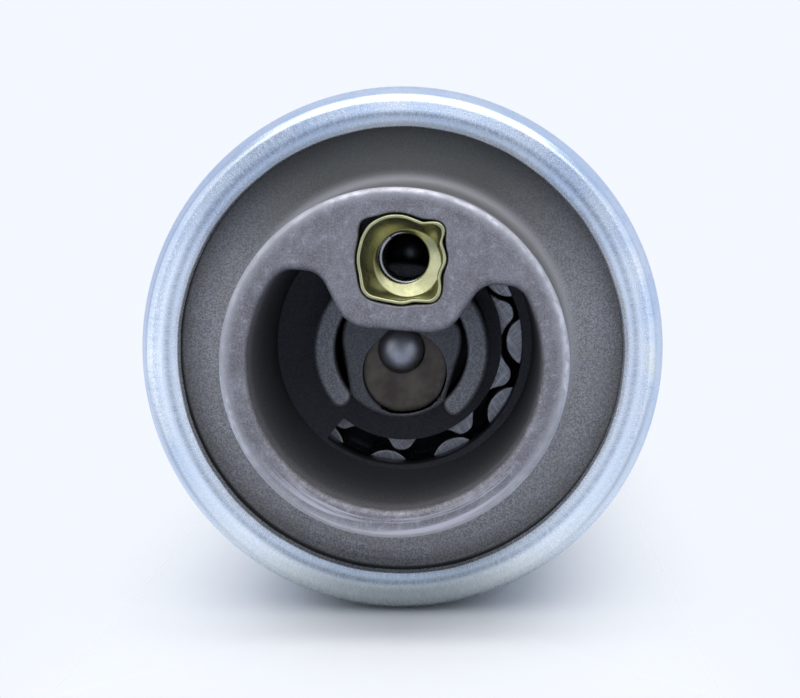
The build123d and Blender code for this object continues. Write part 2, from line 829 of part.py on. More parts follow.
# Moulded outlet housing: towers for brushes, chokes, terminals, bearing and check valve
at_brush_tower = at_carrier - brush_tower_reach
at_brush_end = at_outlet_face - brush_bore_end_wall
at_stud_head = at_end_wall - stud_base
at_stud_tower = at_outlet_face + stud_tower_reach
at_chamber_end = at_carrier + chamber_length
at_dome = at_back + dome_reach
chamber_tube_r = chamber_r + chamber_wall
brush_places = [(-brush_offset, 0), (brush_offset, 0)]
choke_places = [(-choke_offset, 0), (choke_offset, 0)]
stud_places = [(-stud_x, -stud_drop), (stud_x, -stud_drop)]
outlet_axis = Axis((0, inlet_y, axis_z + outlet_rise), (0, 1, 0))
outlet_section = Plane(
    origin=(0, inlet_y, axis_z + outlet_rise), x_dir=(0, 1, 0), z_dir=(1, 0, 0)
)
with BuildPart() as outlet_housing:
    with BuildSketch(lengthwise) as shell:
        with BuildLine():
            Polyline(
                (at_carrier, carrier_bore_r),
                (at_carrier, casting_r),
                (at_far_groove, casting_r),
                (at_far_groove, casting_r - 2 * seal_section_r),
                (at_far_groove + seal_groove_width, casting_r - 2 * seal_section_r),
                (at_far_groove + seal_groove_width, casting_r),
                (at_back, casting_r),
                (at_back, shoulder_r),
                (at_outlet_face, shoulder_r),
                (at_outlet_face, 0),
                (at_end_wall, 0),
                (at_end_wall, carrier_bore_r),
                close=True,
            )
        make_face()
        fillet(corner(shell, at_outlet_face, shoulder_r), rim_round)
    revolve(axis=pump_axis)
    with BuildSketch(station(at_end_wall)):
        with Locations(*brush_places):
            RectangleRounded(brush_tower_side, brush_tower_side, pocket_round)
    extrude(amount=at_end_wall - at_brush_tower)
    with BuildSketch(station(at_end_wall)):
        with Locations(*choke_places):
            Circle(choke_pocket_r + 0.8)
        with Locations(*stud_places):
            Circle(stud_tower_r)
    extrude(amount=at_end_wall - at_stud_head)
    with BuildSketch(station(at_end_wall)):
        Circle(bearing_boss_r)
        with Locations((0, outlet_rise)):
            Circle(chamber_tube_r)
    extrude(amount=at_end_wall - at_carrier)
    with BuildSketch(station(at_outlet_face)):
        with Locations(*stud_places):
            Circle(stud_tower_r)
    extrude(amount=-stud_tower_reach, taper=2.0)
    with BuildSketch(outlet_section) as nozzle:
        with BuildLine():
            barb_line = []
            for k in range(barb_count):
                at_barb = at_nozzle - 0.6 - k * barb_length
                barb_line += [(at_barb, nozzle_r), (at_barb - barb_length * 0.85, barb_r)]
                barb_line += [(at_barb - barb_length * 0.85, nozzle_r)]
            Polyline(
                (at_outlet_face, 0),
                (at_nozzle, 0),
                (at_nozzle, nozzle_r - 0.4),
                *barb_line,
                (at_dome, nozzle_r),
                (at_dome, chamber_tube_r - 1.0),
                (at_dome - 1.6, chamber_tube_r),
                (at_outlet_face, chamber_tube_r),
                close=True,
            )
        make_face()
        fillet(corner(nozzle, at_dome, nozzle_r), 0.6)
    revolve(axis=outlet_axis)
    with BuildSketch(station(at_outlet_face)) as rib:
        with Locations((0, outlet_rise)):
            Rectangle(2 * (shoulder_r - outlet_rise) - 1, 1.6)
        with Locations((0, outlet_rise)):
            Rectangle(1.6, 2 * (shoulder_r - outlet_rise) - 1)
    extrude(amount=-stud_tower_reach / 2)
    with BuildSketch(station(at_brush_tower)):
        with Locations(*brush_places):
            Rectangle(brush_side + 2 * slide_gap, brush_side + 2 * slide_gap)
    extrude(amount=-(at_brush_end - at_brush_tower), mode=Mode.SUBTRACT)
    with BuildSketch(station(at_stud_head)):
        with Locations(*choke_places):
            Circle(choke_pocket_r)
    extrude(amount=-(choke_length + stack_gap), mode=Mode.SUBTRACT)
    with BuildSketch(station(at_stud_head)):
        with Locations(*stud_places):
            Circle(stud_head_r + stack_gap)
    extrude(amount=-stud_head, mode=Mode.SUBTRACT)
    with BuildSketch(station(at_stud_head)):
        with Locations(*stud_places):
            Circle(stud_r)
    extrude(amount=-(at_stud_tower - at_stud_head), mode=Mode.SUBTRACT)
    with BuildSketch(station(at_carrier)):
        Circle(bearing_r)
    extrude(amount=-bearing_length, mode=Mode.SUBTRACT)
    with BuildSketch(station(at_carrier)):
        with Locations((0, outlet_rise)):
            Circle(chamber_r)
    extrude(amount=-chamber_length, mode=Mode.SUBTRACT)
    with BuildSketch(station(at_chamber_end)):
        with Locations((0, outlet_rise)):
            Circle(nozzle_bore_r)
    extrude(amount=-(at_nozzle - at_chamber_end), mode=Mode.SUBTRACT)
outlet_housing.part.label = "outlet_housing"
export_step(outlet_housing.part, "parts/outlet_housing.step")

with BuildPart() as outlet_bush:
    with BuildSketch(station(at_carrier + bearing_length)):
        Circle(bearing_r)
        Circle(shaft_r + shaft_gap, mode=Mode.SUBTRACT)
    extrude(amount=bearing_length)
outlet_bush.part.label = "outlet_bush"
export_step(outlet_bush.part, "parts/outlet_bush.step")

# Brushes and their springs
for side, place in zip(("left", "right"), brush_places):
    with BuildPart() as brush:
        with BuildSketch(station(at_commutator + brush_length)):
            with Locations(place):
                Rectangle(brush_side, brush_side)
        extrude(amount=brush_length)
    brush.part.label = f"brush_{side}"
    export_step(brush.part, f"parts/brush_{side}.step")

    at_coil = at_commutator + brush_length + brush_wire_r + touch_gap
    coil_length = at_brush_end - brush_wire_r - touch_gap - at_coil
    with BuildPart() as brush_spring:
        with BuildLine() as brush_coil:
            Helix(
                coil_length / brush_turns,
                coil_length,
                brush_coil_r,
                center=station(at_coil).from_local_coords((*place, 0)),
                direction=(0, 1, 0),
            )
        with BuildSketch(Plane(origin=brush_coil.line @ 0, z_dir=brush_coil.line % 0)):
            Circle(brush_wire_r)
        sweep(path=brush_coil.line, is_frenet=True)
    brush_spring.part.label = f"brush_spring_{side}"
    export_step(brush_spring.part, f"parts/brush_spring_{side}.step")

# Interference chokes and the links from them to the studs
with BuildPart() as choke_cores:
    with BuildSketch(station(at_stud_head + choke_length)):
        with Locations(*choke_places):
            Circle(choke_core_r)
    extrude(amount=choke_length)
choke_cores.part.label = "choke_cores"
export_step(choke_cores.part, "parts/choke_cores.step")

with BuildPart() as choke_coils:
    with BuildSketch(station(at_stud_head + choke_length - 0.8)):
        with Locations(*choke_places):
            Circle(choke_coil_r)
            Circle(choke_core_r, mode=Mode.SUBTRACT)
    extrude(amount=choke_length - 1.6)
choke_coils.part.label = "choke_coils"
export_step(choke_coils.part, "parts/choke_coils.step")

with BuildPart() as choke_links:
    for side in (-1, 1):
        with BuildSketch(station(at_stud_head)):
            with BuildLine() as link_path:
                Polyline(
                    (side * stud_x, -stud_drop),
                    (side * (choke_offset - 1.2), -stud_drop / 2 - 1.5),
                    (side * choke_offset, 0),
                )
            trace(link_path.line, link_width)
        extrude(amount=link_thickness)
choke_links.part.label = "choke_links"
export_step(choke_links.part, "parts/choke_links.step")

# Terminal studs, their seals, washers and nuts
at_stud_end = at_stud_tower + stud_reach
with BuildPart() as terminal_studs:
    with BuildSketch(station(at_stud_head + stud_head)):
        with Locations(*stud_places):
            Circle(stud_head_r)
    extrude(amount=stud_head)
    with BuildSketch(station(at_stud_end)):
        with Locations(*stud_places):
            Circle(stud_r)
    extrude(amount=at_stud_end - at_stud_head - stud_head)
    chamfer(
        terminal_studs.faces().sort_by(Axis.Y)[-2:].edges(), stud_r / 5
    )
terminal_studs.part.label = "terminal_studs"
export_step(terminal_studs.part, "parts/terminal_studs.step")

at_washer_top = at_stud_tower + washer_disc
with BuildPart() as terminal_washers:
    with BuildSketch(station(at_washer_top)):
        with Locations(*stud_places):
            Circle(washer_disc_r)
            Circle(stud_r + slide_gap, mode=Mode.SUBTRACT)
    extrude(amount=washer_disc)
terminal_washers.part.label = "terminal_washers"
export_step(terminal_washers.part, "parts/terminal_washers.step")

with BuildPart() as terminal_nuts:
    with BuildSketch(station(at_washer_top + nut_height)):
        with Locations(*stud_places):
            RegularPolygon(nut_flats / 2, 6, major_radius=False)
            Circle(stud_r, mode=Mode.SUBTRACT)
    extrude(amount=nut_height)
terminal_nuts.part.label = "terminal_nuts"
export_step(terminal_nuts.part, "parts/terminal_nuts.step")

# Check valve in the outlet: seat, poppet with a rubber disc, and spring
at_valve_seat = at_carrier + valve_seat_length
with BuildPart() as valve_seat:
    with BuildSketch(station(at_valve_seat)):
        with Locations((0, outlet_rise)):
            Circle(chamber_r)
            Circle(valve_seat_bore_r, mode=Mode.SUBTRACT)
    extrude(amount=valve_seat_length)
valve_seat.part.label = "valve_seat"
export_step(valve_seat.part, "parts/valve_seat.step")

at_seal_disc = at_valve_seat + touch_gap
at_poppet = at_seal_disc + seal_disc
with BuildPart() as valve_seal:
    with BuildSketch(station(at_poppet)):
        with Locations((0, outlet_rise)):
            Circle(seal_disc_r)
    extrude(amount=seal_disc)
valve_seal.part.label = "valve_seal"
export_step(valve_seal.part, "parts/valve_seal.step")

with BuildPart() as valve_poppet:
    with BuildSketch(station(at_poppet + poppet_thickness)):
        with Locations((0, outlet_rise)):
            Circle(poppet_r)
    extrude(amount=poppet_thickness)
    with BuildSketch(station(at_poppet + poppet_thickness)):
        with Locations((0, outlet_rise)):
            Circle(poppet_step_r)
    extrude(amount=-poppet_step, taper=10)
valve_poppet.part.label = "valve_poppet"
export_step(valve_poppet.part, "parts/valve_poppet.step")

at_valve_coil = at_poppet + poppet_thickness + valve_wire_r + touch_gap
valve_coil_length = at_chamber_end - valve_wire_r - touch_gap - at_valve_coil
with BuildPart() as valve_spring:
    with BuildLine() as valve_coil:
        Helix(
            valve_coil_length / valve_turns,
            valve_coil_length,
            valve_coil_r,
            center=station(at_valve_coil).from_local_coords((0, outlet_rise, 0)),
            direction=(0, 1, 0),
        )
    with BuildSketch(Plane(origin=valve_coil.line @ 0, z_dir=valve_coil.line % 0)):
        Circle(valve_wire_r)
    sweep(path=valve_coil.line, is_frenet=True)
valve_spring.part.label = "valve_spring"
export_step(valve_spring.part, "parts/valve_spring.step")

print("overall length", round(neck_reach + at_nozzle, 2), "inlet lip at y", round(inlet_y, 3))
print("relief coil gap", round(relief_coil_length / relief_turns - 2 * relief_wire_r, 2))
print("brush coil gap", round(coil_length / brush_turns - 2 * brush_wire_r, 2))
print("valve coil gap", round(valve_coil_length / valve_turns - 2 * valve_wire_r, 2))
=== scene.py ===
# %% [markdown]
# # An electric fuel pump, seen from its inlet end
#
# The pump lies on its side. Its steel can is rolled over a die-cast inlet housing, whose round
# neck holds a C-shaped mouth, a relief valve behind a square brass cup, and a hub with the end of
# the shaft. The frame brings all inner pieces at their real size, and this lesson gives the
# pieces that show a finer shape, and every piece a finish.

import json

import bmesh
import bpy
import numpy as np
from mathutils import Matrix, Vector
from mathutils.geometry import tessellate_polygon


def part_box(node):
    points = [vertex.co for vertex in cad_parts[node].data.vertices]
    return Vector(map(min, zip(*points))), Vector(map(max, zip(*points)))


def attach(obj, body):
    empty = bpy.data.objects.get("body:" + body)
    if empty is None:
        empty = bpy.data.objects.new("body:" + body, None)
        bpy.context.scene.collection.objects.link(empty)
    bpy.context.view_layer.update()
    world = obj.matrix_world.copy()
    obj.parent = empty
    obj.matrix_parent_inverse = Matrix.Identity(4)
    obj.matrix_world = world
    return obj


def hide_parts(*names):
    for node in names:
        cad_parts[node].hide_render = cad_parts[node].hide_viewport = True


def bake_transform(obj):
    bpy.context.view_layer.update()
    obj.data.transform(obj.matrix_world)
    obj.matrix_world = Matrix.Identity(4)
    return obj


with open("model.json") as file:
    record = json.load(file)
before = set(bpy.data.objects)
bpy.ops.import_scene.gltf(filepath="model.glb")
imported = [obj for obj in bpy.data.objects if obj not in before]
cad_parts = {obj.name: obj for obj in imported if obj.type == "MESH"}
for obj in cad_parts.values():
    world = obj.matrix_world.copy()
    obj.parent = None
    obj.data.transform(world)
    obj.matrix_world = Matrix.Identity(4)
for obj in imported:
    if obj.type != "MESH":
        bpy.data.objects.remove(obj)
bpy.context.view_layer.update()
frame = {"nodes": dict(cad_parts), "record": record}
nodes = frame["nodes"]

# %% [markdown]
# ## One way to say where a thing is
#
# All surfaces are worked out in millimetres about the pump's own axis: x to the right, a station
# along the axis that counts from the front of the lip, and a height above the axis. The lip and
# the axis are read from the can, so that every piece lands where the frame has it.

# %% Places on the pump
MM = 0.001
can_low, can_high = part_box("can")
CAN_R = (can_high.x - can_low.x) / 2 / MM
CAN_LENGTH = (can_high.y - can_low.y) / MM
AXIS = Vector((0, can_low.y, (can_low.z + can_high.z) / 2))


def in_frame(points):
    """Pump millimetres (x, station, height) become metres in the shared frame."""
    return np.asarray(points, float) * MM + np.array(AXIS)


def node_span(name):
    """The stations at which a node of the frame starts and ends."""
    low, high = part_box(name)
    return (low.y - AXIS.y) / MM, (high.y - AXIS.y) / MM


print(f"can {2 * CAN_R:.1f} across and {CAN_LENGTH:.1f} long, lip at y = {AXIS.y * 1000:.2f} mm")

# %% [markdown]
# ## Camera
#
# The photograph looks at the inlet from a hand's breadth away, a little from above and from the
# right. Round edges stay round in it, so the camera looks straight along the pump and the lens is
# shifted instead of turned. The point straight ahead of the eye lies at a known pixel.

# %% Set up the camera
EYE = (6.8, -127.8, 13.0)
AHEAD_PIXEL = (483.2, 192.5)
PICTURE = (800, 698)
LENS = 69.7


def look_from(eye, ahead_pixel, lens):
    """Look along the pump, and shift the lens by the middle's distance from the ahead pixel."""
    camera = bpy.data.objects.new("camera", bpy.data.cameras.new("camera"))
    bpy.context.scene.collection.objects.link(camera)
    camera.location = in_frame(eye)
    camera.rotation_euler = (np.radians(90), 0, 0)
    camera.data.shift_x = (PICTURE[0] / 2 - ahead_pixel[0]) / PICTURE[0]
    camera.data.shift_y = (ahead_pixel[1] - PICTURE[1] / 2) / PICTURE[0]
    camera.data.sensor_fit = "HORIZONTAL"
    camera.data.sensor_width = 36
    camera.data.lens = lens
    camera.data.clip_start = 0.005
    camera.data.clip_end = 20
    bpy.context.scene.camera = camera


look_from(EYE, AHEAD_PIXEL, LENS)
print(f"camera {-EYE[1]} mm in front of the lip, lens {LENS} mm")

# %% [markdown]
# ## Profiles and outlines
#
# A turned or pressed piece is a profile with rounded corners. Each corner is replaced by an arc
# that touches both its sides, and a support point just beyond each end of the arc keeps the flat
# stretches flat when the surface is shaded smooth.


# %% Round the corners of a profile
def unit(vectors):
    """Each vector divided by its length, or left at 0 where it has none."""
    return vectors / np.maximum(np.linalg.norm(vectors, axis=-1, keepdims=True), 1e-12)


def rounded(corners, closed=False, steps=7, support=0.04):
    """Turn corners (a, b, rounding) into a smooth line.

    The turn at a corner is the angle between its two sides. The arc's ends lie the rounding
    times the tangent of half the turn from the corner, and its points swing evenly between them
    about a centre on the corner's bisector.
    """
    corners = np.asarray(corners, float)
    spot, size = corners[:, :2], corners[:, 2:]
    back = unit(np.roll(spot, 1, axis=0) - spot)
    onward = unit(np.roll(spot, -1, axis=0) - spot)
    turn = np.pi - np.arccos(np.clip((back * onward).sum(1, keepdims=True), -1, 1))
    turn = np.maximum(turn, 1e-4)
    reach = size * np.tan(turn / 2)
    centre = spot + unit(back + onward) * size / np.cos(turn / 2)
    first = (spot + back * reach - centre)[:, None]
    last = (spot + onward * reach - centre)[:, None]
    share = np.linspace(0, 1, steps)[None, :, None]
    turn = turn[:, None]
    swing = (np.sin((1 - share) * turn) * first + np.sin(share * turn) * last) / np.sin(turn)
    before = (spot + back * (reach + support))[:, None]
    after = (spot + onward * (reach + support))[:, None]
    line = np.concatenate([before, centre[:, None] + swing, after], axis=1)
    if closed:
        return line.reshape(-1, 2)
    return np.concatenate([spot[:1], line[1:-1].reshape(-1, 2), spot[-1:]])


def arc(centre, radius, start, end, count=24):
    """Points on a circle from one angle to another, in degrees."""
    angle = np.radians(np.linspace(start, end, count))
    return np.column_stack([centre[0] + radius * np.cos(angle), centre[1] + radius * np.sin(angle)])


# %% [markdown]
# ## Surfaces as whole arrays
#
# Two kinds of surface make nearly every piece: a profile turned about an axis, and a profile
# carried round an outline. Both are a grid of points. Flat faces with holes are filled between
# the ends of such grids, and the grids are welded into one closed skin.


# %% Grids of points
def turned(profile, x=0.0, height=0.0, sides=192):
    """Spin a profile (station, radius) about a line along the pump.

    Each point keeps its station and runs round a circle of its own radius.
    """
    angle = np.linspace(0, 2 * np.pi, sides + 1)
    station = np.repeat(profile[:, :1], sides + 1, axis=1)
    across = x + profile[:, 1:] * np.cos(angle)
    up = height + profile[:, 1:] * np.sin(angle)
    return np.stack([across, station, up], axis=-1)


def carried(outline, profile):
    """Carry a profile (station, outset) round a closed outline (x, height).

    The outset moves each point along the outline's own normal, which is the direction from the
    point before to the point after, turned a quarter.
    """
    along = unit(np.roll(outline, -1, axis=0) - np.roll(outline, 1, axis=0))
    normal = np.column_stack([along[:, 1], -along[:, 0]])
    place = outline[None] + profile[:, 1, None, None] * normal[None]
    place = np.concatenate([place, place[:, :1]], axis=1)
    station = np.repeat(profile[:, :1], place.shape[1], axis=1)
    return np.stack([place[..., 0], station, place[..., 1]], axis=-1)


def rolled(outline, degrees, centre=(0, 0)):
    """Turn a flat outline about a centre."""
    c, s = np.cos(np.radians(degrees)), np.sin(np.radians(degrees))
    moved = np.asarray(outline, float) - centre
    return moved @ np.array([[c, s], [-s, c]]) + centre


# %% [markdown]
# A patch is its points, its faces, and a flag for smooth shading. The piece made from the patches
# is welded, gets its faces turned outwards, and stands at the origin with its place in its mesh.


# %% Patches and pieces
WELD = 1e-7  # metres


def skin(grid):
    """Join a grid's neighbours, four at a time, into faces."""
    rows, columns = grid.shape[:2]
    index = np.arange(rows * columns).reshape(rows, columns)
    faces = np.stack([index[:-1, :-1], index[:-1, 1:], index[1:, 1:], index[1:, :-1]], axis=-1)
    return grid.reshape(-1, 3), faces.reshape(-1, 4), True


def flat(station, *loops):
    """Fill the flat face at a station between an outer loop and its holes (x, height)."""
    points = np.concatenate(loops)
    solid = [[Vector((x, height, 0)) for x, height in loop] for loop in loops]
    triangles = np.array(tessellate_polygon(solid))
    place = np.column_stack([points[:, 0], np.full(len(points), station), points[:, 1]])
    return place, triangles, False


def piece(name, patches, material, body, stands_for=()):
    """Weld patches into one mesh, dress it, and let it ride on its body if it has just one."""
    starts = np.cumsum([0] + [len(patch[0]) for patch in patches])
    points = np.concatenate([patch[0] for patch in patches])
    faces = [face for patch, start in zip(patches, starts) for face in (patch[1] + start).tolist()]
    smooth = np.concatenate([np.full(len(patch[1]), patch[2]) for patch in patches])
    mesh = bpy.data.meshes.new(name)
    mesh.from_pydata(in_frame(points), [], faces, shade_flat=False)
    mesh.polygons.foreach_set("use_smooth", smooth)
    work = bmesh.new()
    work.from_mesh(mesh)
    bmesh.ops.remove_doubles(work, verts=work.verts, dist=WELD)
    bmesh.ops.recalc_face_normals(work, faces=work.faces)
    work.to_mesh(mesh)
    work.free()
    thing = bpy.data.objects.new(name, mesh)
    bpy.context.scene.collection.objects.link(thing)
    mesh.materials.append(material)
    if body:
        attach(thing, body)
    if stands_for:
        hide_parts(*stands_for)
    print(f"{name}: {len(mesh.polygons)} faces")
    return thing


# %% [markdown]
# ## Shader helpers
#
# A material is a small tree of nodes. One helper adds a node, sets its constants and links its
# inputs, so that each finish below reads as a list of what happens to the light. Most finishes
# are layers: a mask says where a layer lies, and the mask blends the layer's colour over the rest.

# %% Nodes and groups
MIX_SOCKETS = (0, 6, 7)  # the Mix node's factor and its two colours
MIXED_COLOUR = 2


def plug(tree, socket, value):
    """Link another node's output to a socket, or set the socket to a constant."""
    if isinstance(value, bpy.types.NodeSocket):
        tree.links.new(value, socket)
    else:
        socket.default_value = value


def add(tree, kind, settings=None, **sockets):
    """Add a node. A socket is given by its name, or by i and its number."""
    node = tree.nodes.new(kind)
    for key, value in (settings or {}).items():
        setattr(node, key, value)
    for key, value in sockets.items():
        numbered = key[0] == "i" and key[1:].isdigit()
        plug(tree, node.inputs[int(key[1:]) if numbered else key.replace("_", " ")], value)
    return node


def maths(tree, operation, first, second=0.5, third=0.5):
    """One step of arithmetic on constants or on other nodes' outputs."""
    settings = {"operation": operation}
    return add(tree, "ShaderNodeMath", settings, i0=first, i1=second, i2=third).outputs[0]


def times(tree, first, second):
    """The product of two values, which also overlaps two masks."""
    return maths(tree, "MULTIPLY", first, second)


def remap(tree, value, low, high, to_low=0.0, to_high=1.0):
    """Move a value from one range to another, smoothly at both ends."""
    node = add(
        tree,
        "ShaderNodeMapRange",
        {"interpolation_type": "SMOOTHSTEP"},
        Value=value,
        From_Min=low,
        From_Max=high,
        To_Min=to_low,
        To_Max=to_high,
    )
    return node.outputs["Result"]


def blend_colour(tree, mask, first, second):
    """The first colour where the mask is 0, the second where it is 1."""
    node = add(tree, "ShaderNodeMix", {"data_type": "RGBA"})
    for number, value in zip(MIX_SOCKETS, (mask, first, second)):
        plug(tree, node.inputs[number], (*value, 1) if isinstance(value, tuple) else value)
    return node.outputs[MIXED_COLOUR]


def noise(tree, place, scale, detail=3.0, roughness=0.5):
    """Cloudy noise about 0.5, with so many grains a metre."""
    kind = "ShaderNodeTexNoise"
    node = add(tree, kind, Vector=place, Scale=scale, Detail=detail, Roughness=roughness)
    return node.outputs["Fac"]


def group(name, inputs, outputs):
    """Start a node group. Its inputs are numbers with a default, or a vector for None."""
    tree = bpy.data.node_groups.new(name, "ShaderNodeTree")
    for label, default in inputs:
        kind = "NodeSocketVector" if default is None else "NodeSocketFloat"
        socket = tree.interface.new_socket(label, in_out="INPUT", socket_type=kind)
        if default is not None:
            socket.default_value = default
    for label in outputs:
        tree.interface.new_socket(label, in_out="OUTPUT", socket_type="NodeSocketFloat")
    start = tree.nodes.new("NodeGroupInput").outputs
    end = tree.nodes.new("NodeGroupOutput").inputs
    return tree, start, end


def use(tree, made, **sockets):
    """Place a finished group in a tree and return its outputs."""
    return add(tree, "ShaderNodeGroup", {"node_tree": made}, **sockets).outputs


def new_material(name):
    """Return a material's tree, its shader, and the piece's own coordinates."""
    material = bpy.data.materials.new(name)
    material.use_nodes = True
    tree = material.node_tree
    shader = tree.nodes["Principled BSDF"]
    place = tree.nodes.new("ShaderNodeTexCoord").outputs["Object"]
    return material, tree, shader, place


def feed(tree, shader, **sockets):
    """Set or link the shader's own sockets by their names."""
    for key, value in sockets.items():
        plug(tree, shader.inputs[key.replace("_", " ")], value)

# %% [markdown]
# ## Effects that several finishes share
#
# Round the pump is a better guide than plain coordinates: rings, radial streaks and worn rims all
# follow the axis. The first group turns a place into a station, a radius and an angle. The second
# makes surface grain, and the third the marks that a turning tool leaves.

# %% Round the pump
TO_MM = 1 / MM


def make_polar():
    """Station from the lip and radius from the axis in millimetres, angle in turns.

    The radius is the root of the two distances squared. The angle runs from -0.5 to 0.5, is 0
    at the right and grows anticlockwise.
    """
    made, start, end = group("round_the_pump", [("Place", None)], ["Station", "Radius", "Angle"])
    split = add(made, "ShaderNodeSeparateXYZ", Vector=start["Place"]).outputs
    x = times(made, split["X"], TO_MM)
    up = times(made, maths(made, "SUBTRACT", split["Z"], AXIS.z), TO_MM)
    square = maths(made, "MULTIPLY_ADD", x, x, times(made, up, up))
    angle = maths(made, "DIVIDE", maths(made, "ARCTAN2", up, x), 2 * np.pi)
    station = times(made, maths(made, "SUBTRACT", split["Y"], AXIS.y), TO_MM)
    made.links.new(station, end["Station"])
    made.links.new(maths(made, "SQRT", square), end["Radius"])
    made.links.new(angle, end["Angle"])
    return made


def make_grain():
    """Two sizes of noise: fine grit over soft blotches, both in grains per millimetre."""
    made, start, end = group(
        "surface_grain", [("Place", None), ("Grit", 6.0), ("Blotch", 0.5)], ["Fine", "Soft"]
    )
    grit = times(made, start["Grit"], TO_MM)
    blotch = times(made, start["Blotch"], TO_MM)
    made.links.new(noise(made, start["Place"], grit, 2.0, 0.6), end["Fine"])
    made.links.new(noise(made, start["Place"], blotch, 4.0, 0.55), end["Soft"])
    return made


def make_turning():
    """Rings about the axis: noise that changes quickly with the radius and slowly round it."""
    made, start, end = group(
        "turning_marks",
        [("Radius", 0.0), ("Station", 0.0), ("Angle", 0.0), ("Rings", 4.0), ("Breaks", 6.0)],
        ["Marks"],
    )
    ring = times(made, start["Radius"], start["Rings"])
    along = times(made, start["Station"], start["Rings"])
    round_it = times(made, start["Angle"], start["Breaks"])
    place = add(made, "ShaderNodeCombineXYZ", X=ring, Y=along, Z=round_it).outputs[0]
    made.links.new(noise(made, place, 1.0, 3.0, 0.6), end["Marks"])
    return made


polar = make_polar()
grain = make_grain()
turning = make_turning()
print("shared effects:", [made.name for made in (polar, grain, turning)])

# %% [markdown]
# ## Zinc on the steel can
#
# Bright zinc with a thin clear passivation is nearly white, with soft blue and straw tints and a
# patch of steel blue at the upper left. Rolling the lip leaves fine streaks across it, small pits
# and bright flecks, fewer on its smooth lower half. The can's side shows long drawn lines. The
# tints come from slow noise, the streaks from noise that is stretched along the radius, and masks
# of radius and angle put each layer where the photograph has it. Round the bottom the lip and the
# can are painted darker as painted shade. The lip's inner edge is painted lighter beside the top as
# a painted highlight, and its bevel is painted darker at the top as painted shade.

# %% Zinc finish
TOP, BOTTOM, UPPER_LEFT = 0.25, -0.25, 0.40
BEND_R = CAN_R - 0.9
BEVEL_R = 19.25
ZINC = {
    "white": (0.68, 0.71, 0.73),
    "blue": (0.52, 0.60, 0.70),
    "straw": (0.70, 0.74, 0.65),
    "streak": (0.36, 0.42, 0.50),
    "steel_blue": (0.34, 0.41, 0.52),
    "smooth": (0.82, 0.86, 0.85),
    "pit": (0.40, 0.44, 0.48),
    "fleck": (0.95, 0.96, 0.97),
    # Painted highlight on the lip's inner edge beside the top:
    "inner_edge_highlight": (0.88, 0.91, 0.93),
    # Painted shade on the bevel at the top:
    "bevel": (0.42, 0.46, 0.50),
    "drawn_dark": (0.50, 0.54, 0.60),
    "drawn_light": (0.60, 0.64, 0.70),
    # Painted shade round the bottom of the lip and the can:
    "underside_shade": (0.38, 0.42, 0.44),
}


def turns_from(tree, angle, middle):
    """How far an angle lies from a middle one, in turns."""
    return maths(tree, "ABSOLUTE", maths(tree, "SUBTRACT", angle, middle))


def zinc_on_the_lip(tree, place, where, specks, streaks):
    """Tints and streaks, a smooth lower half, pits and flecks, then the inner edge painted lighter
    beside the top as a painted highlight and the bevel painted darker at the top as painted shade.
    """
    radius, angle = where["Radius"], where["Angle"]
    from_top, from_bottom = turns_from(tree, angle, TOP), turns_from(tree, angle, BOTTOM)

    tint = remap(tree, noise(tree, place, 130.0, 3.0, 0.6), 0.42, 0.66)
    colour = blend_colour(tree, tint, ZINC["white"], ZINC["blue"])
    straw = remap(tree, specks["Soft"], 0.55, 0.8)
    colour = blend_colour(tree, straw, colour, ZINC["straw"])
    dark = remap(tree, streaks, 0.52, 0.78, 0.0, 0.55)
    colour = blend_colour(tree, dark, colour, ZINC["streak"])
    patch = remap(tree, turns_from(tree, angle, UPPER_LEFT), 0.13, 0.04, 0.0, 0.5)
    colour = blend_colour(tree, patch, colour, ZINC["steel_blue"])
    smooth = remap(tree, from_bottom, 0.22, 0.14, 0.0, 0.6)
    colour = blend_colour(tree, smooth, colour, ZINC["smooth"])

    face = remap(tree, radius, BEND_R, BEND_R - 0.4)
    face = times(tree, face, remap(tree, smooth, 0.0, 0.6, 1.0, 0.4))
    pits = times(tree, face, remap(tree, specks["Fine"], 0.48, 0.34, 0.0, 0.4))
    colour = blend_colour(tree, pits, colour, ZINC["pit"])
    flecks = times(tree, face, remap(tree, specks["Fine"], 0.56, 0.7, 0.0, 0.6))
    colour = blend_colour(tree, flecks, colour, ZINC["fleck"])

    # Painted highlight: the inner edge is painted lighter, except near the top.
    beside = remap(tree, from_top, 0.14, 0.2, 0.0, 0.75)
    inner = times(tree, beside, remap(tree, radius, 20.4, 19.5))
    colour = blend_colour(tree, inner, colour, ZINC["inner_edge_highlight"])
    # Painted shade: the bevel is painted darker near the top.
    bevel = remap(tree, radius, BEVEL_R + 0.1, BEVEL_R - 0.1)
    near_top = remap(tree, remap(tree, from_top, 0.15, 0.05), 0.0, 1.0, 0.0, 0.5)
    return blend_colour(tree, times(tree, bevel, near_top), colour, ZINC["bevel"])


def zinc_on_the_side(tree, where):
    """Long faint lines: noise that changes quickly round the can and slowly along it."""
    round_it, along = times(tree, where["Angle"], 260.0), times(tree, where["Station"], 0.12)
    line_place = add(tree, "ShaderNodeCombineXYZ", X=round_it, Y=along).outputs[0]
    lines = remap(tree, noise(tree, line_place, 1.0, 4.0, 0.6), 0.35, 0.65)
    return blend_colour(tree, lines, ZINC["drawn_dark"], ZINC["drawn_light"])


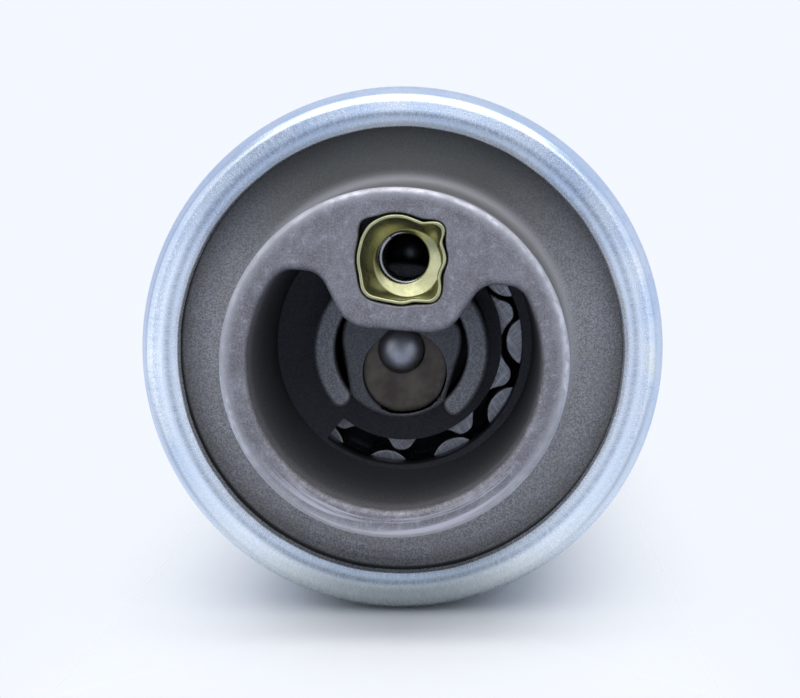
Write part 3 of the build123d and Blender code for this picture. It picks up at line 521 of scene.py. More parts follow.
def make_zinc():
    """The lip's finish, the side's beyond the bend, and painted shade on the lower side, over one
    fine bump.
    """
    material, tree, shader, place = new_material("zinc_plate")
    where = use(tree, polar, Place=place)
    specks = use(tree, grain, Place=place, Grit=8.0, Blotch=0.16)
    fan = times(tree, where["Angle"], 520.0)
    along, outwards = times(tree, where["Station"], 1.1), times(tree, where["Radius"], 1.1)
    streak_place = add(tree, "ShaderNodeCombineXYZ", X=fan, Y=along, Z=outwards).outputs[0]
    streaks = noise(tree, streak_place, 1.0, 3.0, 0.7)

    colour = zinc_on_the_lip(tree, place, where, specks, streaks)
    side = remap(tree, where["Radius"], CAN_R - 0.4, CAN_R - 0.1, 0.0, 0.85)
    colour = blend_colour(tree, side, colour, zinc_on_the_side(tree, where))
    # Painted shade: the lip and the can are painted darker round the bottom.
    under = remap(tree, turns_from(tree, where["Angle"], BOTTOM), 0.12, 0.03, 0.0, 0.93)
    colour = blend_colour(tree, under, colour, ZINC["underside_shade"])
    rough = remap(tree, streaks, 0.2, 0.8, 0.2, 0.34)
    height = maths(tree, "MULTIPLY_ADD", specks["Fine"], 1.2, streaks)
    bump = add(tree, "ShaderNodeBump", Strength=0.24, Distance=0.03 * MM, Height=height)
    feed(tree, shader, Base_Color=colour, Roughness=rough, Metallic=1.0, Normal=bump.outputs[0])
    return material


zinc = make_zinc()
print("zinc layers:", len(ZINC))

# %% [markdown]
# ## Die-cast grey
#
# The inlet housing is cast. Its recessed face is dark and gritty, with faint hints of other
# colours as bare castings have them. It is painted darker near the top as painted shade, nearly
# black in the gap at the can as a painted shadow, and lighter round the neck's foot as a painted
# highlight. Grit is fine noise between two greys, and each hint is a thin layer with its own mask.

# %% Skin of the casting
CAST = {
    "skin_dark": (0.20, 0.20, 0.21),
    "skin_light": (0.42, 0.42, 0.44),
    "green": (0.29, 0.29, 0.22),
    "violet": (0.30, 0.25, 0.31),
    "warm": (0.27, 0.25, 0.22),
    # Painted shade near the top of the recessed face:
    "top": (0.10, 0.10, 0.09),
    # Painted shadow in the gap at the can:
    "gap": (0.02, 0.02, 0.02),
    # Painted highlight round the neck's foot:
    "foot": (0.37, 0.365, 0.37),
    "rim_dark": (0.135, 0.13, 0.14),
    "rim_light": (0.20, 0.195, 0.21),
    "rim_grit": (0.34, 0.33, 0.36),
    "dark_spot": (0.13, 0.115, 0.11),
    "light_spot": (0.43, 0.425, 0.47),
    # Wear from rubbing with a painted highlight towards the rim's edge:
    "rubbed_and_sheen": (0.46, 0.455, 0.48),
    "line": (0.50, 0.48, 0.52),
    "worn": (0.62, 0.61, 0.65),
    # Painted shade in the mouth, and lighter greys as painted light on the horseshoe and the hub:
    "deep_shade_dark": (0.06, 0.06, 0.067),
    "deep_shade_light": (0.09, 0.09, 0.098),
    "rib_dark": (0.14, 0.14, 0.145),
    "rib_light": (0.26, 0.26, 0.27),
    "hub_dark": (0.07, 0.07, 0.075),
    "hub_light": (0.12, 0.12, 0.125),
}


def cast_skin(tree, place, where, grit, soft):
    """Grit in two greys with hints of green, violet and brown, painted shade above, a painted
    shadow in the gap at the can, and a painted highlight round the neck's foot.
    """
    colour = blend_colour(tree, grit, CAST["skin_dark"], CAST["skin_light"])
    tint = noise(tree, place, 2600.0, 2.0, 0.6)
    green = remap(tree, tint, 0.54, 0.68, 0.0, 0.5)
    colour = blend_colour(tree, green, colour, CAST["green"])
    violet = remap(tree, tint, 0.46, 0.32, 0.0, 0.5)
    colour = blend_colour(tree, violet, colour, CAST["violet"])
    colour = blend_colour(tree, times(tree, soft, 0.3), colour, CAST["warm"])
    # Painted shade: the recessed face is painted darker near the top.
    above = remap(tree, turns_from(tree, where["Angle"], TOP), 0.22, 0.06, 0.0, 0.88)
    colour = blend_colour(tree, above, colour, CAST["top"])
    # Painted shadow: the face is painted nearly black in the gap under the lip.
    gap = remap(tree, where["Radius"], 18.45, 18.75)
    colour = blend_colour(tree, gap, colour, CAST["gap"])
    # Painted highlight: a lighter ring round the neck's foot.
    outer, inner = (remap(tree, where["Radius"], *ends) for ends in ((15.2, 13.8), (13.3, 13.5)))
    return blend_colour(tree, times(tree, outer, inner), colour, CAST["foot"])


# %% [markdown]
# The rim stands nearest to the eye. It is a lighter grey with dark and light spots, lighter
# towards its edge from rubbing and from a painted highlight, and the tool that faced it left a few
# lines in its lower half. The sharp edge itself is worn bright in broken dashes: quick noise round
# the rim makes the dashes, and slow noise lets them fade here and there.

# %% Rim of the casting
def marks(tree, where, rings, breaks):
    """The turning marks at this place, with so many rings a millimetre and breaks a turn."""
    spot = {key: where[key] for key in ("Radius", "Station", "Angle")}
    return use(tree, turning, **spot, Rings=rings, Breaks=breaks)["Marks"]


def cast_rim(tree, place, where, grit, soft):
    """Soft greys, grit, two kinds of spots, a zone lighter from rubbing and a painted highlight,
    and the lines, one over another.
    """
    colour = blend_colour(tree, soft, CAST["rim_dark"], CAST["rim_light"])
    colour = blend_colour(tree, times(tree, grit, 0.5), colour, CAST["rim_grit"])
    mottle = noise(tree, place, 1500.0, 5.0, 0.7)
    spots = remap(tree, mottle, 0.5, 0.68, 0.0, 0.5)
    colour = blend_colour(tree, spots, colour, CAST["dark_spot"])
    spots = remap(tree, mottle, 0.47, 0.3, 0.0, 0.45)
    colour = blend_colour(tree, spots, colour, CAST["light_spot"])
    # Wear from rubbing and a painted highlight: lighter towards the rim's outer edge.
    rubbed_and_sheen = remap(tree, where["Radius"], 12.3, 13.2, 0.0, 0.6)
    colour = blend_colour(tree, rubbed_and_sheen, colour, CAST["rubbed_and_sheen"])
    low = remap(tree, turns_from(tree, where["Angle"], BOTTOM), 0.17, 0.08)
    low = times(tree, low, remap(tree, where["Radius"], 11.6, 12.0))
    lines = times(tree, low, remap(tree, marks(tree, where, 2.2, 5.0), 0.45, 0.6))
    return blend_colour(tree, lines, colour, CAST["line"]), lines


def worn_edge(tree, where):
    """Dashes round the edge, times slow noise that lets them fade."""
    edge = remap(tree, where["Radius"], 12.75, 13.25)
    dashes = remap(tree, marks(tree, where, 2.0, 90.0), 0.38, 0.62, 0.2, 0.9)
    fading = remap(tree, marks(tree, where, 0.2, 9.0), 0.42, 0.6, 0.1, 1.0)
    return times(tree, times(tree, edge, dashes), fading)


# %% [markdown]
# The mouth's wall and floor are painted nearly black as painted shade. The horseshoe and the hub
# catch more light, so they get lighter greys of their own as painted light. Which part of the
# casting a place belongs to follows from its station and radius alone, so one material dresses
# the whole piece.

# %% Die-cast finish
def cast_inside(tree, where, grit):
    """Painted shade, nearly black, on the wall and the floor, and lighter greys as painted light
    where the horseshoe and the hub stand up.
    """
    radius = where["Radius"]
    # Painted shade on the mouth's wall and floor; painted light on the horseshoe and the hub.
    deep_shade = blend_colour(tree, grit, CAST["deep_shade_dark"], CAST["deep_shade_light"])
    rib = blend_colour(tree, grit, CAST["rib_dark"], CAST["rib_light"])
    hub_face = blend_colour(tree, grit, CAST["hub_dark"], CAST["hub_light"])
    raised_colour = blend_colour(tree, remap(tree, radius, 5.3, 5.6), hub_face, rib)
    raised = remap(tree, where["Station"], 1.6, 0.6)
    raised = times(tree, raised, remap(tree, radius, 8.5, 8.0))
    return blend_colour(tree, raised, deep_shade, raised_colour)


def make_cast():
    """The skin, the rim in front of it, the worn edge, and the inside, one over another."""
    material, tree, shader, place = new_material("die_cast")
    where = use(tree, polar, Place=place)
    specks = use(tree, grain, Place=place, Grit=7.0, Blotch=0.45)
    soft = remap(tree, specks["Soft"], 0.3, 0.7)
    grit = remap(tree, specks["Fine"], 0.35, 0.65)
    rim = remap(tree, where["Station"], -7.0, -9.4)
    rim_colour, lines = cast_rim(tree, place, where, grit, soft)
    colour = blend_colour(tree, rim, cast_skin(tree, place, where, grit, soft), rim_colour)
    bright = times(tree, worn_edge(tree, where), rim)
    colour = blend_colour(tree, bright, colour, CAST["worn"])
    inside = remap(tree, where["Radius"], 11.6, 11.1)
    inside = times(tree, inside, remap(tree, where["Station"], -9.4, -6.5))
    colour = blend_colour(tree, inside, colour, cast_inside(tree, where, grit))
    rough = remap(tree, bright, 0.0, 1.0, 0.55, 0.38)
    height = maths(tree, "MULTIPLY_ADD", lines, 0.5, specks["Fine"])
    bump = add(tree, "ShaderNodeBump", Strength=0.45, Distance=0.04 * MM, Height=height)
    feed(tree, shader, Base_Color=colour, Roughness=rough, Metallic=0.55, Normal=bump.outputs[0])
    return material


cast = make_cast()
print("casting layers:", len(CAST))

# %% [markdown]
# ## Brass, bronze, steel and the rest
#
# The small pieces differ in colour and in how they were finished: pressed brass is smooth with a
# greenish cast, sintered bronze is matt and even, and moulded pieces are dull. One function makes
# them all from a colour, a darker companion and a roughness. Ground steel has a finish of its
# own, because it shows fine crossed scratches. Every CAD node then gets the finish of its slot.

# %% Small finishes
# Slot, name, light and dark colour, roughness, grains per millimetre, bump and metallic
SMALL_FINISHES = [
    ("pressed_brass", "pressed_brass", (0.47, 0.455, 0.25), (0.35, 0.34, 0.185), 0.32, 4, 0.05, 1),
    ("spring_steel", "spring_wire", (0.42, 0.41, 0.41), (0.26, 0.25, 0.26), 0.3, 6, 0.2, 1),
    ("ground_steel", "turned_steel", (0.32, 0.32, 0.34), (0.23, 0.23, 0.24), 0.4, 8, 0.3, 1),
    ("bronze", "sintered_bronze", (0.112, 0.097, 0.074), (0.07, 0.055, 0.046), 0.46, 9, 0.15, 1),
    ("laminated_steel", "core_steel", (0.30, 0.30, 0.31), (0.2, 0.2, 0.21), 0.4, 6, 0.2, 1),
    ("plain_steel", "plain_steel", (0.48, 0.48, 0.49), (0.36, 0.36, 0.37), 0.35, 6, 0.2, 1),
    ("ferrite", "ferrite", (0.13, 0.13, 0.135), (0.09, 0.09, 0.095), 0.6, 6, 0.2, 0),
    ("seal_rubber", "seal_rubber", (0.03, 0.03, 0.03), (0.02, 0.02, 0.02), 0.5, 6, 0.2, 0),
    ("black_moulding", "moulding", (0.04, 0.04, 0.043), (0.028, 0.028, 0.03), 0.42, 6, 0.2, 0),
    ("insulation", "insulation", (0.5, 0.42, 0.3), (0.4, 0.33, 0.22), 0.6, 6, 0.2, 0),
    ("copper", "copper", (0.72, 0.32, 0.16), (0.5, 0.2, 0.1), 0.3, 6, 0.2, 1),
    ("commutator_moulding", "phenolic", (0.1, 0.06, 0.04), (0.07, 0.04, 0.03), 0.5, 6, 0.2, 0),
    ("carbon", "carbon", (0.06, 0.06, 0.065), (0.04, 0.04, 0.045), 0.5, 6, 0.2, 0.3),
    ("nut_steel", "zinc_nut", (0.74, 0.73, 0.62), (0.6, 0.6, 0.52), 0.3, 6, 0.2, 1),
]
SCRATCH_ANGLES = (35, -50)
SCRATCH_SCALE = (7000, 900, 600)


def make_small(name, light, dark, rough, grit, relief, metallic):
    """Blend two colours by soft blotches and let fine grit change the gloss."""
    material, tree, shader, place = new_material(name)
    specks = use(tree, grain, Place=place, Grit=grit, Blotch=0.6)
    colour = blend_colour(tree, remap(tree, specks["Soft"], 0.3, 0.7), dark, light)
    gloss = remap(tree, specks["Fine"], 0.3, 0.7, rough * 0.85, rough * 1.2)
    fine = specks["Fine"]
    bump = add(tree, "ShaderNodeBump", Strength=relief, Distance=0.03 * MM, Height=fine)
    feed(tree, shader, Base_Color=colour, Roughness=gloss, Metallic=metallic)
    feed(tree, shader, Normal=bump.outputs[0])
    return material


def make_ground_steel():
    """Ground faces: scratches are noise squeezed across one direction, twice, at an angle."""
    material, tree, shader, place = new_material("ground_steel")
    scratch = []
    for degrees in SCRATCH_ANGLES:
        turn = add(tree, "ShaderNodeVectorRotate", {"rotation_type": "Y_AXIS"}, Vector=place,
                   Angle=np.radians(degrees))
        drawn = add(tree, "ShaderNodeMapping", Vector=turn.outputs[0], Scale=SCRATCH_SCALE)
        scratch.append(noise(tree, drawn.outputs[0], 1.0, 2.0, 0.6))
    lines = maths(tree, "MAXIMUM", *scratch)
    mask = remap(tree, lines, 0.45, 0.75)
    colour = blend_colour(tree, mask, (0.40, 0.39, 0.39), (0.70, 0.69, 0.70))
    bump = add(tree, "ShaderNodeBump", Strength=0.3, Distance=0.02 * MM, Height=lines)
    rough = remap(tree, lines, 0.4, 0.8, 0.42, 0.28)
    feed(tree, shader, Base_Color=colour, Roughness=rough, Metallic=1.0, Normal=bump.outputs[0])
    return material


finishes = {"zinc_steel": zinc, "die_cast": cast, "sintered_steel": make_ground_steel()}
for slot, *values in SMALL_FINISHES:
    finishes[slot] = make_small(*values)
for part in frame["record"]["subparts"]:
    node = nodes[part["node"]]
    if not node.material_slots:
        node.data.materials.append(None)
    for holder in node.material_slots:
        holder.material = finishes[part["material_slot"]]
print("finishes:", len(finishes))

# %% [markdown]
# ## The can
#
# A tube whose ends are rolled inwards over the housings. Its profile is a closed line: the lip's
# inner edge, the bevel, the slightly coned lip, a crease, the slope up to the full radius, and the
# same again at the far end. The rolled edge isn't quite even, so it wavers by a few hundredths.

# %% Make the can
LIP_THICKNESS = 1.4
LIP_INNER_R = 18.45
BORE_R = CAN_R - 1.5
BEVEL_DEPTH, BEVEL_WIDTH = 0.3, 0.85
CREASE_AT = 0.25
SLOPE_END = 2.8
WAVES = [(5, 1.0, 1.0), (13, 0.6, 0.0), (29, 0.5, 2.0)]  # to a turn, height and phase
WAVER = 0.02


def can_profile():
    """The lip's corners (station, radius, rounding), and the same mirrored at the far end."""
    lip = np.array(
        [
            (LIP_THICKNESS, BORE_R, 0.2),
            (LIP_THICKNESS, LIP_INNER_R, 0.12),
            (BEVEL_DEPTH, LIP_INNER_R, 0.12),
            (0.0, LIP_INNER_R + BEVEL_WIDTH, 2.3),
            (CREASE_AT, BEND_R, 0.9),
            (SLOPE_END, CAN_R, 4.0),
        ]
    )
    far = lip[::-1] * (-1, 1, 1) + (CAN_LENGTH, 0, 0)
    return rounded(np.concatenate([lip, far]), closed=True, steps=9)


def wavered(grid):
    """Move points within half a millimetre of the rolled edge in and out by a sum of sines."""
    angle = np.arctan2(grid[..., 2], grid[..., 0])
    radius = np.hypot(grid[..., 0], grid[..., 2])
    near = np.clip((LIP_INNER_R + 0.5 - radius) / 0.5, 0, 1)
    wave = sum(high * np.sin(count * angle + phase) for count, high, phase in WAVES)
    scale = 1 + WAVER * near * wave / radius
    return grid * np.stack([scale, np.ones_like(scale), scale], axis=-1)


line = can_profile()
can_grid = wavered(turned(np.concatenate([line, line[:1]]), sides=256))
piece("rolled_can", [skin(can_grid)], zinc, "housing", ["can"])

# %% [markdown]
# ## Outlines in the mouth
#
# The mouth is a circle less the boss that hangs from the top, all turned a few degrees. Its
# corners are arcs that touch the circle and the boss's sides, so each arc's centre follows from
# the radii. The port is a curved slot, and the horseshoe one that goes most of the way round.

# %% Outlines
ROLL = -4.3
NECK_R = 13.44
MOUTH_R = 11.3
BOSS_BOTTOM = 2.45
BOSS_HALF = 3.9
BOSS_ROUND = 2.8
LOBE_TOP = 6.5
LOBE_HALF = 6.3
LOBE_ROUND = 1.9


def mouth_outline(draft=0.0):
    """Walk round the mouth: big arc, lobe corners, boss corners, and back."""
    radius = MOUTH_R - draft
    top = LOBE_TOP - draft
    bottom = BOSS_BOTTOM - draft
    centre_up = top - LOBE_ROUND
    centre_x = np.sqrt((radius - LOBE_ROUND) ** 2 - centre_up**2)
    touch = np.degrees(np.arctan2(centre_up, centre_x))
    lobe = arc((centre_x, centre_up), LOBE_ROUND, touch, 90, 10)
    corners = [
        (centre_x, top, 0.0),
        (LOBE_HALF + draft, top, LOBE_ROUND),
        (BOSS_HALF + draft, bottom, BOSS_ROUND),
        (0, bottom, 0.0),
    ]
    side = rounded(corners, steps=12, support=0.1)[1:-1]
    half = np.concatenate([arc((0, 0), radius, -90, touch, 90)[1:-1], lobe, side])
    mirror = half[::-1] * (-1, 1)
    return rolled(np.concatenate([half, mirror]), ROLL)


def slot_outline(inner_r, outer_r, start, sweep, corner, shift=(0, 0)):
    """A curved slot: two arcs, the outer one about a shifted centre, and rounded corners."""
    outer_lean = np.degrees(np.arcsin(corner / (outer_r - corner)))
    inner_lean = np.degrees(np.arcsin(corner / (inner_r + corner)))
    end = start + sweep
    out_first, out_last = start + outer_lean, end - outer_lean
    in_first, in_last = start + inner_lean, end - inner_lean

    def spot(radius, degrees):
        return radius * np.cos(np.radians(degrees)), radius * np.sin(np.radians(degrees))

    outer = [
        arc(spot(outer_r - corner, out_first), corner, start - 90, out_first, 7)[:-1],
        arc((0, 0), outer_r, out_first, out_last, 120),
        arc(spot(outer_r - corner, out_last), corner, out_last, end + 90, 7)[1:],
    ]
    inner = [
        arc(spot(inner_r + corner, in_last), corner, end + 90, in_last + 180, 7),
        arc((0, 0), inner_r, in_last, in_first, 120)[1:],
        arc(spot(inner_r + corner, in_first), corner, in_first + 180, start + 270, 7)[1:],
    ]
    return np.concatenate([np.concatenate(outer) + shift, np.concatenate(inner)])


def circle(radius, x=0.0, height=0.0, sides=96):
    """A whole circle, without the last point, which is the first."""
    return arc((x, height), radius, 0, 360, sides + 1)[:-1]


print(f"mouth {2 * MOUTH_R} mm across, its outline has {len(mouth_outline())} points")

# %% [markdown]
# ## The rim of the brass cup
#
# The relief valve's brass cup sits in a pocket of the casting that follows its rim, so the rim
# comes first. It is a square that pressing has bent into small waves. No formula gives those, so
# about thirty points of it were chosen on an enlarged view of the photograph, and its reach from
# the middle is joined smoothly between them. At the upper left the pocket is wider than the cup.

# %% The rim of the brass cup
RELIEF_UP = 7.94
RELIEF_PLACE = tuple(rolled([(0, RELIEF_UP)], ROLL)[0])
FINGER_OF_AIR = (138, 13, 0.45)  # middle and width in degrees, and its reach
RIM_POINTS = [
    (0, 3.43), (17, 3.32), (24, 3.35), (32, 3.94), (38, 4.12), (45, 4.04),
    (52, 3.68), (60, 3.24), (73, 3.24), (90, 3.40), (107, 3.55), (134, 3.68),
    (164, 3.47), (180, 3.49), (198, 3.50), (207, 3.65), (219, 3.96), (228, 3.96),
    (242, 3.62), (256, 3.46), (271, 3.50), (285, 3.40), (296, 3.70), (305, 4.10),
    (314, 4.12), (324, 3.76), (333, 3.28), (344, 3.22), (352, 3.36), (360, 3.43),
]


def cup_rim(angle, spread=3.5):
    """The rim's reach over the angle: the points joined by straight lines, then smoothed.

    Each degree takes the mean of its neighbours, weighted by a bell curve of this spread.
    """
    middles, reach = np.array(RIM_POINTS).T
    away = np.arange(-30, 31)
    bell = np.exp(-((away / spread) ** 2))
    level = np.interp(np.arange(-30, 391), middles, reach, period=360)
    level = np.convolve(level, bell / bell.sum(), mode="valid")
    return np.interp(np.degrees(angle), np.arange(361), level, period=360)


def pocket_outline():
    """A little outside the cup's smoothed rim, with a bell-shaped bulge at the upper left."""
    angle = np.linspace(0, 2 * np.pi, 241)[:-1]
    middle, width, bulge = FINGER_OF_AIR
    corner = np.exp(-(((np.degrees(angle) - middle) / width) ** 2))
    reach = cup_rim(angle, spread=9.0) + 0.14 + bulge * corner
    return RELIEF_PLACE + reach[:, None] * np.column_stack([np.cos(angle), np.sin(angle)])


reaches = [reach for _, reach in RIM_POINTS]
print(f"the cup's rim lies {min(reaches)} to {max(reaches)} mm from its middle")

# %% [markdown]
# ## The inlet housing
#
# One welded skin of grids and flat faces: the turned outside, the rim with its soft edges, the
# wall of the mouth, the floor with the port, and the back. All stations and radii stand first,
# and the skin then follows from them. The casting's back has a second, blind port opposite the
# open one, a bore for the relief valve with a small drain, and a blind bore for the shaft.

# %% Skin of the housing
AT_RIM = -9.6
AT_SHOULDER = 1.45
AT_FACE = 3.3
AT_FLOOR = 6.5
AT_ROTOR = 9.3
CAST_R = BORE_R - 0.05
SHOULDER_R = 19.0
GROOVE = (4.2, 6.5)
GROOVE_BOTTOM_R = CAST_R - 1.74
MOUTH_EDGE = 0.55
FLAT_EDGE = 0.25
FLOOR_DRAFT = 0.28
POCKET_DEPTH = 2.7
POCKET_EDGE = 0.12
RELIEF_BORE_R = 2.6
RELIEF_END = 8.0
DRAIN_R = 1.5
SHAFT_BORE_R = 2.0
SHAFT_BORE_END = AT_FLOOR + 0.4
MESH_SIDE = 226.0
PORT_R = (8.42, 10.42)
PORT_SHIFT = arc((0, 0), 0.3, MESH_SIDE - ROLL, MESH_SIDE - ROLL, 1)[0]  # of its outer arc
OPEN_PORT = (235.3, 172.0, 0.2)  # start and sweep in degrees, and corner
BLIND_PORT = (56.0, 150.0, 0.25)
BLIND_DEPTH = 1.2


def straight(outline, start, end):
    """A wall that follows an outline from one station to another."""
    return skin(carried(outline, np.array([(start, 0), (end, 0)])))


def front_edge(grid):
    """The outline (x, height) of a grid's first ring."""
    return grid[0, :-1, [0, 2]].T


def housing_outside():
    """The turned profile from the rim over the neck, the face and the seal's groove."""
    corners = [
        (AT_RIM, NECK_R - 1.0, 0),
        (AT_RIM, NECK_R, 0.45),
        (AT_FACE, NECK_R, 1.2),
        (AT_FACE, SHOULDER_R, 0.45),
        (AT_SHOULDER, SHOULDER_R, 0.3),
        (AT_SHOULDER, CAST_R, 0.1),
        (GROOVE[0], CAST_R, 0.1),
        (GROOVE[0], GROOVE_BOTTOM_R, 0.2),
        (GROOVE[1], GROOVE_BOTTOM_R, 0.2),
        (GROOVE[1], CAST_R, 0.1),
        (AT_ROTOR, CAST_R, 0.15),
        (AT_ROTOR, CAST_R - 1.0, 0),
    ]
    return skin(turned(rounded(corners), sides=256))


def housing_front():
    """The rim's face between the neck, the mouth and the cup's pocket, and both their walls."""
    edge = rounded([(AT_RIM, MOUTH_EDGE + FLAT_EDGE, 0), (AT_RIM, 0, MOUTH_EDGE),
                    (AT_RIM + 2, 0, 0)])
    wall = carried(mouth_outline(), edge)
    floor = mouth_outline(FLOOR_DRAFT)
    foot = np.insert(np.concatenate([floor, floor[:1]]), 1, AT_FLOOR, axis=1)
    pocket = pocket_outline()
    pocket_foot = AT_RIM + POCKET_DEPTH
    pocket_wall = carried(pocket, np.array([(AT_RIM, POCKET_EDGE), (AT_RIM + POCKET_EDGE, 0),
                                            (pocket_foot, 0)]))
    bore = circle(RELIEF_BORE_R, *RELIEF_PLACE, sides=64)
    return [
        flat(AT_RIM, circle(NECK_R - 1.0, sides=256), front_edge(wall), front_edge(pocket_wall)),
        skin(np.concatenate([wall[:-1], foot[None]])),
        skin(pocket_wall),
        flat(pocket_foot, pocket, bore),
        straight(bore, pocket_foot, RELIEF_END),
    ]


def housing_back():
    """The mouth's floor, the port through it, the back face, and what is sunk into that."""
    port = rolled(slot_outline(*PORT_R, *OPEN_PORT, PORT_SHIFT), ROLL)
    blind = slot_outline(*PORT_R, *BLIND_PORT)
    bore = circle(RELIEF_BORE_R, *RELIEF_PLACE, sides=64)
    drain = circle(DRAIN_R, *RELIEF_PLACE, sides=64)
    shaft_bore = circle(SHAFT_BORE_R, sides=64)
    return [
        flat(AT_FLOOR, mouth_outline(FLOOR_DRAFT), port),
        straight(port, AT_FLOOR, AT_ROTOR),
        flat(RELIEF_END, bore, drain),
        straight(drain, RELIEF_END, AT_ROTOR),
        flat(AT_ROTOR, circle(CAST_R - 1.0, sides=256), port, drain, shaft_bore, blind),
        straight(blind, AT_ROTOR, AT_ROTOR - BLIND_DEPTH),
        flat(AT_ROTOR - BLIND_DEPTH, blind),
        straight(shaft_bore, AT_ROTOR, SHAFT_BORE_END),
        flat(SHAFT_BORE_END, shaft_bore),
    ]


# %% [markdown]
# The hub and the horseshoe stand on the floor as shells of their own that run into it. The hub is
# a tongue below the boss: its foot is an arc about the axis, and its waisted sides are rounded
# corners. It carries the bore for the bronze insert, whose centre lies off the axis.

# %% Make the inlet housing
HUB_FRONT = 0.3
HUB_R = 5.6
HUB_FOOT = (225.6, 314.4)
HUB_CORNERS = [(4.0, -3.6, 0.5), (5.0, 0.6, 3.0), (4.75, 3.0, 1.6)]
HUB_EDGE = 0.3
BUSH_R = 3.5
BUSH_AT = (0.3, -1.93)
BUSH_BACK = 6.0
SHOE_R = (5.5, 7.25)
SHOE_GAP = 81.0
SHOE_CORNER = 0.8
SHOE_EDGE = 0.35


def standing(outline, edge, *holes):
    """A shell that stands on the floor: flat top, rounded edge, and a side that ends in it."""
    foot = AT_FLOOR + 0.2
    profile = rounded([(HUB_FRONT, -edge - 0.2, 0), (HUB_FRONT, 0, edge), (foot, 0, 0)], steps=6)
    side = carried(outline, profile)
    return [skin(side), flat(HUB_FRONT, front_edge(side), *holes), flat(foot, outline)]


def horseshoe_outline():
    """A slot with round ends that leaves a gap at the foot, the same to both sides."""
    start = SHOE_GAP / 2 - 90
    return rolled(slot_outline(*SHOE_R, start, 360 - SHOE_GAP, SHOE_CORNER), ROLL)


def hub_outline():
    """The foot's arc, then up one side and down the other, which mirrors it."""
    foot = arc((0, 0), HUB_R, *HUB_FOOT, 60)
    other_side = [(-x, height, size) for x, height, size in HUB_CORNERS[::-1]]
    corners = [(*foot[-1], 0), *HUB_CORNERS, *other_side, (*foot[0], 0)]
    line = rounded(corners, steps=10, support=0.1)
    return rolled(np.concatenate([foot[1:-1], line]), ROLL)


bush_hole = circle(BUSH_R, *BUSH_AT, sides=96)
hub = standing(hub_outline(), HUB_EDGE, bush_hole)
hub_bore = [straight(bush_hole, HUB_FRONT, BUSH_BACK), flat(BUSH_BACK, bush_hole)]
shoe = standing(horseshoe_outline(), SHOE_EDGE)
housing = [housing_outside(), *housing_front(), *housing_back(), *hub, *hub_bore, *shoe]
piece("inlet_casting", housing, cast, "housing", ["inlet_housing"])

# %% [markdown]
# ## Shaft end and bronze insert
#
# The shaft ends in a shallow dome with a dark, slightly polished crown. The bronze insert behind
# it is a disc with small chamfers, and the shaft's bore lies far off its middle. One profile
# makes it: turned about the shaft, and shifted more the further a point lies from the shaft.

# %% Make the shaft and the insert
SHAFT_R = 1.85
SHAFT_END = 79.5
DOME_BASE = 0.3
DOME_HEIGHT = 1.2
DISC_FRONT = 1.0
DISC_BORE_R = SHAFT_R + 0.03


def shaft_profile():
    """A quarter of an ellipse, then a straight side with a small corner at the far end."""
    turn = np.linspace(0, np.pi / 2, 24)
    dome = np.column_stack([DOME_BASE - DOME_HEIGHT * np.cos(turn), SHAFT_R * np.sin(turn)])
    side = rounded([(DOME_BASE + 0.04, SHAFT_R, 0), (SHAFT_END, SHAFT_R, 0.25), (SHAFT_END, 0, 0)])
    return np.concatenate([dome, side])


def eccentric_disc():
    """Blend the bore's circle about the shaft into the outer circle about the insert's centre."""
    corners = [
        (BUSH_BACK, DISC_BORE_R, 0.05),
        (DISC_FRONT, DISC_BORE_R, 0.1),
        (DISC_FRONT, BUSH_R, 0.12),
        (BUSH_BACK, BUSH_R, 0.1),
    ]
    line = rounded(corners, closed=True)
    grid = turned(np.concatenate([line, line[:1]]), sides=96)
    radius = np.hypot(grid[..., 0], grid[..., 2])
    share = (radius - SHAFT_R) / (BUSH_R - SHAFT_R)
    grid[..., 0] += BUSH_AT[0] * share
    grid[..., 2] += BUSH_AT[1] * share
    return grid


steel = finishes["ground_steel"]
shaft = skin(turned(shaft_profile(), sides=64))
piece("motor_shaft", [shaft], steel, "armature", ["shaft"])
disc = skin(eccentric_disc())
piece("bronze_insert", [disc], finishes["bronze"], "housing", ["inlet_bush"])

# %% [markdown]
# ## Rotors behind the port
#
# An inner rotor with ten lobes turns inside an outer one with eleven. The centre of an outer lobe,
# seen from the inner rotor, runs along a circle with a small circle on it, and the inner outline
# lies one lobe radius inside that track. Both have broken edges, which read as dark lines.


# %% Make the rotors
INNER_LOBES = 10
MESH_OFFSET = 0.75
LOBE_CIRCLE_R = 11.62
LOBE_R = 2.4
LOBE_PLAY = 0.08
ROOT_R = 10.9
OUTER_ROTOR_R = 13.2
INNER_BORE_R = 1.9
INNER_PHASE = -128.6
ROTOR_FRONT = AT_ROTOR + 0.03
ROTOR_BACK = ROTOR_FRONT + 8.04
BROKEN = 0.14
ROTOR_EDGE = np.array(
    [
        (ROTOR_FRONT, -BROKEN),
        (ROTOR_FRONT + 0.03, -BROKEN * 0.4),
        (ROTOR_FRONT + BROKEN, 0),
        (ROTOR_BACK - BROKEN, 0),
        (ROTOR_BACK, -BROKEN),
    ]
)


